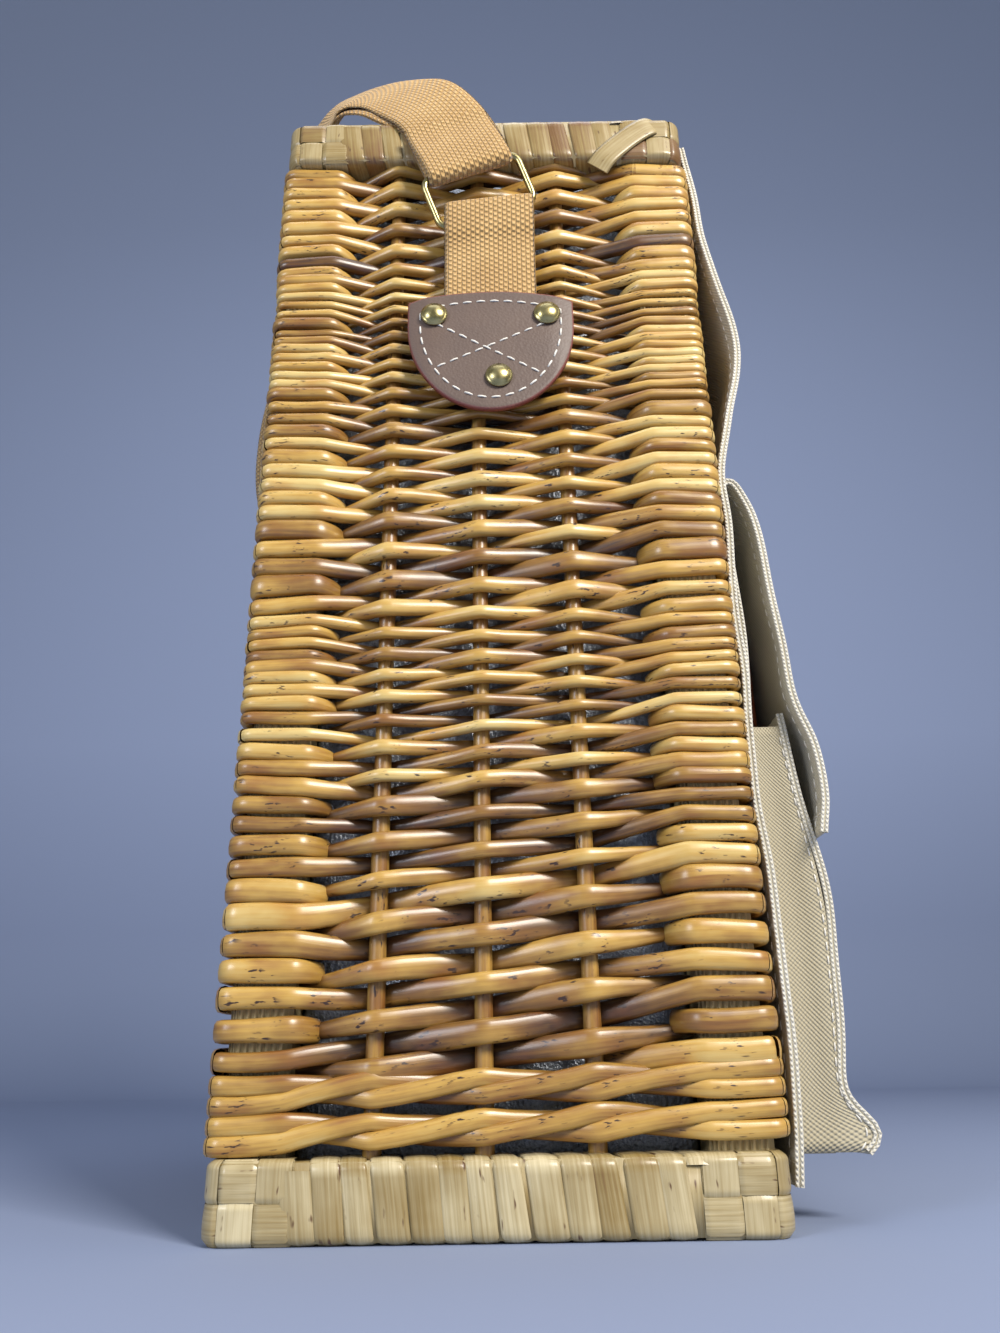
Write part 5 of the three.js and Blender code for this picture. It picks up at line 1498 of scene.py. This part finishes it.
def patch_outline(inset, count):
    """Half-moon as y and z: a low arched top, straight shoulders and half an ellipse below, all moved in."""
    half = (PATCH_HIGH[1] - PATCH_LOW[1]) / 2 - inset
    top = PATCH_HIGH[2] - inset
    foot_start = PATCH_HIGH[2] - PATCH_ARCH - PATCH_SHOULDER
    foot_depth = foot_start - PATCH_LOW[2] - inset
    angle = np.linspace(0, np.pi, 40)
    foot = np.stack([half * np.cos(angle), foot_start - foot_depth * np.sin(angle)], axis=1)
    share = np.linspace(-1, 1, 20)
    arch = np.stack([half * share, top - PATCH_ARCH * share**2], axis=1)
    loop = np.vstack([foot, arch, foot[:1]])
    return even(loop, count + 1)[:-1] + [PATCH_MIDDLE, 0]


def patch_face(places):
    """Outer face of the patch: it lies on the tab in its middle and drops to the weave at its side edges."""
    drop = 1.5 * step_between(np.abs(places[..., 0] - PATCH_MIDDLE), 25, 34)
    swell = 0.25 * soft_noise(places, 30, 8)
    return PATCH_LOW[0] + 0.15 + drop + 0.3 * swell


def on_patch(places, lift):
    """Points on a patch's outer face from their y and z, standing out by the lift."""
    return np.concatenate([(patch_face(places) - lift)[..., None], places], axis=-1)


def patch_parts():
    """The two half-moon leather patches with their stitching, and the plates inside the wall."""
    thick = PATCH_HIGH[0] - PATCH_LOW[0]
    centre = np.array([PATCH_MIDDLE, (PATCH_LOW[2] + PATCH_HIGH[2]) / 2 + 2])
    edge, inner = (patch_outline(inset, PATCH_POINTS) for inset in (0, 0.7))
    table = [(edge, share, -thick * deep, tone) for share, deep, tone in PATCH_BACK]
    table += [(edge, 1, -0.45, 0.95)]
    table += [(inner, *row) for row in PATCH_FACE]
    grid = np.array([on_patch(centre + (loop - centre) * share, lift) for loop, share, lift, _ in table])
    tones = [row[-1] for row in table]
    seam = patch_outline(SEAM_INSET, 240)
    lines = [np.vstack([seam, seam[:1]])]
    lines += [even(np.array(ends, float), 40) for ends in zip(CROSS_TOP, CROSS_FOOT)]
    for side, name in SIDES:
        work = Patchwork()
        work.add(on_side(grid, side), np.array(tones)[None, :, None], round_columns=True)
        for line in lines:
            outward = np.tile(OUTWARD, (len(line), 1))
            bows = stitches(on_patch(line, 0.0), outward, STITCH_LENGTH, STITCH_GAP, 0.42, 0.3)
            work.add(on_side(bows, side), slot=1, round_columns=True)
        finished(work, f"patch_{name}", ["leather", "thread"], "basket", [f"leather_patch_{name}"])

        low, high = node_box(f"backing_plate_{name}")
        share = np.array([0, 0.04, 0.5, 0.96, 1])
        plate = np.stack(np.meshgrid(share, share, indexing="ij"), axis=-1) * (high - low)[1:] + low[1:]
        middle = np.full(plate.shape[:2], (low[0] + high[0]) / 2)[..., None]
        work = sheet_work(np.concatenate([middle, plate], axis=-1), (high - low)[0] * 0.95, 0.3)
        finished(work, f"plate_{name}", ["leather"], "basket", [f"backing_plate_{name}"])


# Rivet: the height of its cap, and the radii and thickness of the foot inside the wall
CAP_HIGH = 2.8
FOOT_RADIUS, FOOT_THICK = 4, 1.2
SHANK_RADIUS = 1.5
RIVET_SIDES = 28


def rivet_parts():
    """The domed rivets: a profile turned round X, with a rolled rim and a smooth dome."""
    for side, name in SIDES:
        for place in ("front", "back", "lower"):
            low, high = node_box(f"rivet_{place}_{name}")
            centre = (low + high) / 2
            tail, tip = sorted((abs(low[0]), abs(high[0])))
            cap = (high[1] - low[1]) / 2
            base, foot = tip - CAP_HIGH, tail + FOOT_THICK
            profile = np.array([
                (0, tail), (FOOT_RADIUS - 0.4, tail), (FOOT_RADIUS, tail + 0.3), (FOOT_RADIUS, foot - 0.2),
                (FOOT_RADIUS - 0.4, foot), (SHANK_RADIUS, foot), (SHANK_RADIUS, base),
                (cap - 0.4, base - 0.2), (cap, base + 0.25), (cap - 0.15, base + 0.75),
                (cap - 0.7, base + 0.95), (cap * 0.8, base + 1.3), (cap * 0.66, base + 1.9),
                (cap * 0.45, base + 2.4), (cap * 0.2, base + 2.7), (0, tip - 0.02),
            ])
            angle = TURN * np.arange(RIVET_SIDES) / RIVET_SIDES
            y = centre[1] + profile[:, :1] * np.cos(angle)
            z = centre[2] + profile[:, :1] * np.sin(angle)
            grid = np.stack(np.broadcast_arrays(side * profile[:, 1:], y, z), axis=-1)
            work = Patchwork().add(grid, round_columns=True)
            finished(work, f"dome_{place}_{name}", ["brass"], "basket", [f"rivet_{place}_{name}"])


# Ring, tab and strap: the bars' places on the left side, and the way that the ring leans
WIRE = 3.0
RING_WIDTH, RING_HEIGHT, RING_BEND = 46, 27, 4.5
RING_TILT = np.radians(20.8)
FOLD_TILT = np.radians(7)
LOWER_BAR = np.array([-148.9, -1.5, 383.5])
UPPER_BAR_X = -153.8
STRAP_WIDTH, STRAP_THICK = 38, 1.6
STRAP_COLUMNS = 21
ARM_POINTS, LOOP_POINTS = 90, 200
BAR_SPAN = RING_HEIGHT - WIRE
LEAN = np.arcsin((LOWER_BAR[0] - UPPER_BAR_X) / BAR_SPAN)
ALONG_BAR = np.array([0, -np.cos(RING_TILT), np.sin(RING_TILT)])
UP_RING = np.array([0, np.sin(RING_TILT), np.cos(RING_TILT)])
LEANING = UP_RING * np.cos(LEAN) + OUTWARD * np.sin(LEAN)
UPPER_BAR = LOWER_BAR + LEANING * BAR_SPAN
INNER_LAYER, OUTER_LAYER, MERGE = -2.8, -0.9, 12
# Length of the strap's folded end, and how far the tab reaches under the patch
STRAP_END_LENGTH = 30
TAB_TUCKED = 36


def ring_parts():
    """The rectangular wire rings, with rounded corners."""
    half_x, half_y = (RING_WIDTH - WIRE) / 2, BAR_SPAN / 2
    loop = rounded_loop(half_x, half_y, RING_BEND, 8, 120)
    path = LOWER_BAR + loop[:, :1] * ALONG_BAR + (loop[:, 1:] + half_y) * LEANING
    closed = np.concatenate([path[-1:], path, path[:1]])
    facing = np.cross(ALONG_BAR, LEANING)
    rings = tube(closed, WIRE / 2, WIRE / 2, 14, facing)[1:-1]
    for side, name in SIDES:
        work = Patchwork().add(on_side(rings, side), round_rows=True, round_columns=True)
        finished(work, f"wire_ring_{name}", ["brass"], f"ring_{name}", [f"ring_{name}"])


def hairpin(length, count):
    """Middle line of webbing folded round a bar, as [along, outward] from the bar: out along the inner layer,
    a half turn round the bar, and back on top of the first layer."""
    bend = np.linspace(0, np.pi, 13)
    radius = -INNER_LAYER
    turn = np.stack([-radius * np.sin(bend), -radius * np.cos(bend)], axis=1)
    first = [(length, INNER_LAYER), (length * 0.5, INNER_LAYER), (4, INNER_LAYER)]
    back = [(MERGE * 0.4, radius * 0.9), (MERGE, radius * 0.55)]
    back += [(MERGE * 2, OUTER_LAYER), (length, OUTER_LAYER)]
    return curve(np.array([*first, *turn.tolist(), *back]), count)


def tab_parts():
    """The short webbing tabs: folded round the ring's lower bar, their two layers tucked under the patch."""
    line = hairpin(LOWER_BAR[2] - PATCH_HIGH[2] + TAB_TUCKED, 110)
    path = LOWER_BAR - line[:, :1] * UPWARD + line[:, 1:] * OUTWARD
    across = np.tile([0, 1.0, 0], (len(path), 1))
    grid = band(path, across, STRAP_WIDTH, STRAP_THICK, STRAP_COLUMNS)
    rise = step_between(grid[..., 2], PATCH_HIGH[2], LOWER_BAR[2] - 4)
    loose = (np.tan(RING_TILT) - np.tan(FOLD_TILT)) * STRAP_WIDTH / 2
    shear = loose - np.tan(FOLD_TILT) * (grid[..., 1] - LOWER_BAR[1])
    grid[..., 2] += shear * rise
    for side, name in SIDES:
        work = Patchwork().add(on_side(grid, side), round_columns=True)
        finished(work, f"tab_{name}", ["webbing"], "basket", [f"webbing_tab_{name}"])


# The strap's route: arms from the ring over the rim to the fold, then the loop that hangs behind. Rows hold a
# place and the direction of the strap's width there.
FOLD_X = 105.85
ARM_ROUTE = [
    ((-149.1, 8.9, 420.2), (0, -0.93, 0.36)),
    ((-149.1, 17.8, 438.1), (0, -0.82, 0.56)),
    ((-147.8, 27.7, 451.5), (0.1, -0.52, 0.85)),
    ((-142.5, 41.6, 463.0), (0.38, -0.25, 0.89)),
    ((-137.8, 54.5, 467.8), (0.5, -0.08, 0.86)),
    ((-133.5, 65.5, 467.6), (0.56, 0.05, 0.83)),
    ((-126.0, 75.0, 463.8), (0.5, 0.1, 0.86)),
    ((-116.0, 83.0, 460.8), (0.25, 0, 0.97)),
    ((-106.0, 89.0, 459.8), (0, 0, 1)),
]
# The strap's returned end lies under the arm, slipped a little toward its near edge
DOUBLED_PART = (22, 74)
SLIP = 4.5
# The loop is cut here into its two ends and its hanging middle
BEND_X = 82.0
LOOP_ROUTE = [
    ((-105.9, 89.0, 459.8), (0, 0, 1)),
    ((-99.5, 89.4, 459.8), (0, 0, 1)),
    ((-92.1, 93.6, 458.2), (0.2, 0.2, 0.96)),
    ((-82.6, 98.1, 449.9), (0.4, 0.3, 0.87)),
    ((-69.9, 101.9, 425.6), (0.7, 0.4, 0.59)),
    ((-55.0, 105.0, 390.6), (0.8, 0.5, 0.33)),
    ((-38.1, 107.2, 352.6), (0.7, 0.68, 0.2)),
    ((-19.1, 109.1, 327.9), (0.4, 0.85, 0.35)),
    ((0, 110.3, 320.3), (0, 0.85, 0.53)),
]


def strap_parts():
    """The carrying strap: ends folded round the rings' upper bars, arms over the rim, and the loop behind."""

    def strap_piece(name, grids, body, node):
        """One piece of the strap, of grids with a tone each."""
        work = Patchwork()
        for grid, tone in grids:
            work.add(grid, tone, round_columns=True)
        return finished(work, name, ["webbing"], body, [node])

    line = hairpin(STRAP_END_LENGTH, 70)
    path = UPPER_BAR + line[:, :1] * UP_RING + line[:, 1:] * OUTWARD
    across = np.tile(-ALONG_BAR, (len(path), 1))
    end = band(path, across, STRAP_WIDTH, STRAP_THICK, STRAP_COLUMNS)
    for side, name in SIDES:
        made = strap_piece(f"strap_fold_{name}", [(on_side(end, side), 0.5)], None, f"strap_end_{name}")
        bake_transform(made)

    places = curve(np.array([place for place, _ in ARM_ROUTE]), ARM_POINTS)
    turns = curve(np.array([across for _, across in ARM_ROUTE], float), ARM_POINTS)
    arm = band(places, turns, STRAP_WIDTH, STRAP_THICK, STRAP_COLUMNS)
    inward = unit(np.cross(np.gradient(places, axis=0), turns))
    doubled = slice(*DOUBLED_PART)
    slip = SLIP * np.sin(np.linspace(0, np.pi, DOUBLED_PART[1] - DOUBLED_PART[0]))[:, None]
    under = places[doubled] + inward[doubled] * 1.25 * STRAP_THICK - unit(turns)[doubled] * slip
    under = band(under, turns[doubled], STRAP_WIDTH, STRAP_THICK, STRAP_COLUMNS)
    for side, name in SIDES:
        # The returned end under the arm gets a darker tone: painted shade where it lies under the arm
        grids = [(on_side(arm, side), 0.5), (on_side(under, side), 0.62)]
        made = strap_piece(f"strap_arm_webbing_{name}", grids, None, f"strap_arm_{name}")
        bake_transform(made)

    flip = np.array([-1, 1, 1])
    knots = np.array([place for place, _ in LOOP_ROUTE])
    turns = np.array([across for _, across in LOOP_ROUTE])
    path, turns = (curve(np.vstack([half, half[-2::-1] * flip]), LOOP_POINTS) for half in (knots, turns))
    bend = int(np.argmax(path[:, 0] > -BEND_X))
    left, hanging, right = slice(bend + 1), slice(bend, -bend), slice(-bend - 1, None)
    for name, rows, side in (("left", left, -1), ("hanging", hanging, 0), ("right", right, 1)):
        grid = band(path[rows], turns[rows], STRAP_WIDTH, STRAP_THICK, STRAP_COLUMNS)
        made = strap_piece(f"strap_{name}", [(grid, 0.5)], None if side else "strap_loop", "strap_loop")
        if side:
            start, end = ((side * x * MM, 0, 0) for x in (FOLD_X, BEND_X))
            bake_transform(made)
    bpy.context.view_layer.update()


class BasketSizes(bpy.types.PropertyGroup):
    """Sizes that set the look of the weave and the cloth."""

    rod_depth: bpy.props.FloatProperty(
        name="Rod depth",
        description="Thickness of a woven rod across the wall",
        default=ROD_OUT * MM,
        min=0.003,
        max=0.006,
        unit="LENGTH",
    )
    skein_width: bpy.props.FloatProperty(
        name="Skein width",
        description="Width of the skein wound on the rims",
        default=SKEIN_WIDTH * MM,
        min=0.004,
        max=0.02,
        unit="LENGTH",
    )
    cloth_ripple: bpy.props.FloatProperty(
        name="Cloth ripple",
        description="Height of a ripple of the canvas",
        default=0.001,
        min=0,
        max=0.002,
        unit="LENGTH",
    )


def colour_property(name, description, code):
    """Colour with its default in six hex digits."""
    default = srgb(code)
    return bpy.props.FloatVectorProperty(
        name=name, description=description, subtype="COLOR", size=3, min=0, max=1, default=default
    )


class BasketColours(bpy.types.PropertyGroup):
    """Main colour of each finish."""

    willow: colour_property("Willow", "Middle tone of the varnished rods", "be9749")
    skein: colour_property("Skein", "Middle tone of the skein on the rims", "a5946a")
    post: colour_property("Posts", "Peeled wood of the posts", "b3a172")
    canvas: colour_property("Canvas", "Undyed canvas", "bdb59c")
    webbing: colour_property("Webbing", "Cotton webbing", "cba669")
    leather: colour_property("Leather", "Face of the leather", "655348")
    thread: colour_property("Thread", "Sewing thread", "f2f0ea")
    # The brass's main colour is darkened: a painted reflection of the dark room round it
    brass: colour_property("Brass", "Plating of rings and rivets", "7d7240")
    # The foil's main colour is dark: painted shade for the basket's shaded inside
    foil: colour_property("Foil", "Foil of the liner", "6f757e")
    fastener: colour_property("Fastener", "Hook-and-loop tape", "a08868")
    board: colour_property("Board", "Wood of the board", "6d3320")
    backdrop: colour_property("Backdrop", "Backdrop cloth", "9dabcb")


class BASKET_OT_stage(bpy.types.Operator):
    """Make the camera, lamps and backdrop"""

    bl_idname = "basket.stage"
    bl_label = "Stage"

    def execute(self, context):
        stage_parts()
        return {"FINISHED"}


class BASKET_OT_posts(bpy.types.Operator):
    """Give the corner posts and base runners their wood"""

    bl_idname = "basket.posts"
    bl_label = "Posts"

    def execute(self, context):
        post_parts()
        return {"FINISHED"}


class BASKET_OT_weave(bpy.types.Operator):
    """Make the woven walls and their stakes"""

    bl_idname = "basket.weave"
    bl_label = "Weave"

    def execute(self, context):
        weave_parts()
        return {"FINISHED"}


class BASKET_OT_rims(bpy.types.Operator):
    """Make the rims wound with skein"""

    bl_idname = "basket.rims"
    bl_label = "Rims"

    def execute(self, context):
        rim_parts()
        return {"FINISHED"}


class BASKET_OT_base(bpy.types.Operator):
    """Make the woven base"""

    bl_idname = "basket.base"
    bl_label = "Base"

    def execute(self, context):
        base_parts()
        return {"FINISHED"}


class BASKET_OT_liner(bpy.types.Operator):
    """Make the foil liner"""

    bl_idname = "basket.liner"
    bl_label = "Liner"

    def execute(self, context):
        liner_parts()
        return {"FINISHED"}


class BASKET_OT_lid(bpy.types.Operator):
    """Make the padded lid and its fittings"""

    bl_idname = "basket.lid"
    bl_label = "Lid"

    def execute(self, context):
        lid_parts()
        return {"FINISHED"}


class BASKET_OT_apron(bpy.types.Operator):
    """Make the canvas apron"""

    bl_idname = "basket.apron"
    bl_label = "Apron"

    def execute(self, context):
        apron_parts()
        return {"FINISHED"}


class BASKET_OT_pocket(bpy.types.Operator):
    """Make the bellows pocket"""

    bl_idname = "basket.pocket"
    bl_label = "Pocket"

    def execute(self, context):
        pocket_parts()
        return {"FINISHED"}


class BASKET_OT_flap(bpy.types.Operator):
    """Make the two layers of the flap"""

    bl_idname = "basket.flap"
    bl_label = "Flap"

    def execute(self, context):
        flap_parts()
        return {"FINISHED"}


class BASKET_OT_fasteners(bpy.types.Operator):
    """Make the hook-and-loop strips"""

    bl_idname = "basket.fasteners"
    bl_label = "Fasteners"

    def execute(self, context):
        fastener_parts()
        return {"FINISHED"}


class BASKET_OT_board(bpy.types.Operator):
    """Make the wooden board"""

    bl_idname = "basket.board"
    bl_label = "Board"

    def execute(self, context):
        board_parts()
        return {"FINISHED"}


class BASKET_OT_patches(bpy.types.Operator):
    """Make the leather patches and backing plates"""

    bl_idname = "basket.patches"
    bl_label = "Patches"

    def execute(self, context):
        patch_parts()
        return {"FINISHED"}


class BASKET_OT_rivets(bpy.types.Operator):
    """Make the domed rivets"""

    bl_idname = "basket.rivets"
    bl_label = "Rivets"

    def execute(self, context):
        rivet_parts()
        return {"FINISHED"}


class BASKET_OT_rings(bpy.types.Operator):
    """Make the wire rings"""

    bl_idname = "basket.rings"
    bl_label = "Rings"

    def execute(self, context):
        ring_parts()
        return {"FINISHED"}


class BASKET_OT_tabs(bpy.types.Operator):
    """Make the webbing tabs"""

    bl_idname = "basket.tabs"
    bl_label = "Tabs"

    def execute(self, context):
        tab_parts()
        return {"FINISHED"}


class BASKET_OT_strap(bpy.types.Operator):
    """Make the carrying strap"""

    bl_idname = "basket.strap"
    bl_label = "Strap"

    def execute(self, context):
        strap_parts()
        return {"FINISHED"}


OPERATORS = (
    BASKET_OT_stage,
    BASKET_OT_posts,
    BASKET_OT_weave,
    BASKET_OT_rims,
    BASKET_OT_base,
    BASKET_OT_liner,
    BASKET_OT_lid,
    BASKET_OT_apron,
    BASKET_OT_pocket,
    BASKET_OT_flap,
    BASKET_OT_fasteners,
    BASKET_OT_board,
    BASKET_OT_patches,
    BASKET_OT_rivets,
    BASKET_OT_rings,
    BASKET_OT_tabs,
    BASKET_OT_strap,
)


class BASKET_PT_pieces(bpy.types.Panel):
    """Panel that lists the basket's pieces"""

    bl_idname = "BASKET_PT_pieces"
    bl_label = "Picnic basket"
    bl_space_type = "VIEW_3D"
    bl_region_type = "UI"
    bl_category = "Basket"

    def draw(self, context):
        for operator in OPERATORS:
            self.layout.operator(operator.bl_idname)
        for group in (context.scene.basket_sizes, context.scene.basket_colours):
            for name in group.__annotations__:
                self.layout.prop(group, name)


def register():
    """Registers the property groups, operators and panel."""
    for made in (BasketSizes, BasketColours, *OPERATORS, BASKET_PT_pieces):
        bpy.utils.register_class(made)
    bpy.types.Scene.basket_sizes = bpy.props.PointerProperty(type=BasketSizes)
    bpy.types.Scene.basket_colours = bpy.props.PointerProperty(type=BasketColours)


def unregister():
    """Takes them away again."""
    del bpy.types.Scene.basket_colours
    del bpy.types.Scene.basket_sizes
    for made in (BASKET_PT_pieces, *reversed(OPERATORS), BasketColours, BasketSizes):
        bpy.utils.unregister_class(made)


def main():
    """Makes every piece."""
    register()
    for operator in OPERATORS:
        group, name = operator.bl_idname.split(".")
        getattr(getattr(bpy.ops, group), name)()


if __name__ == "__main__":
    main()
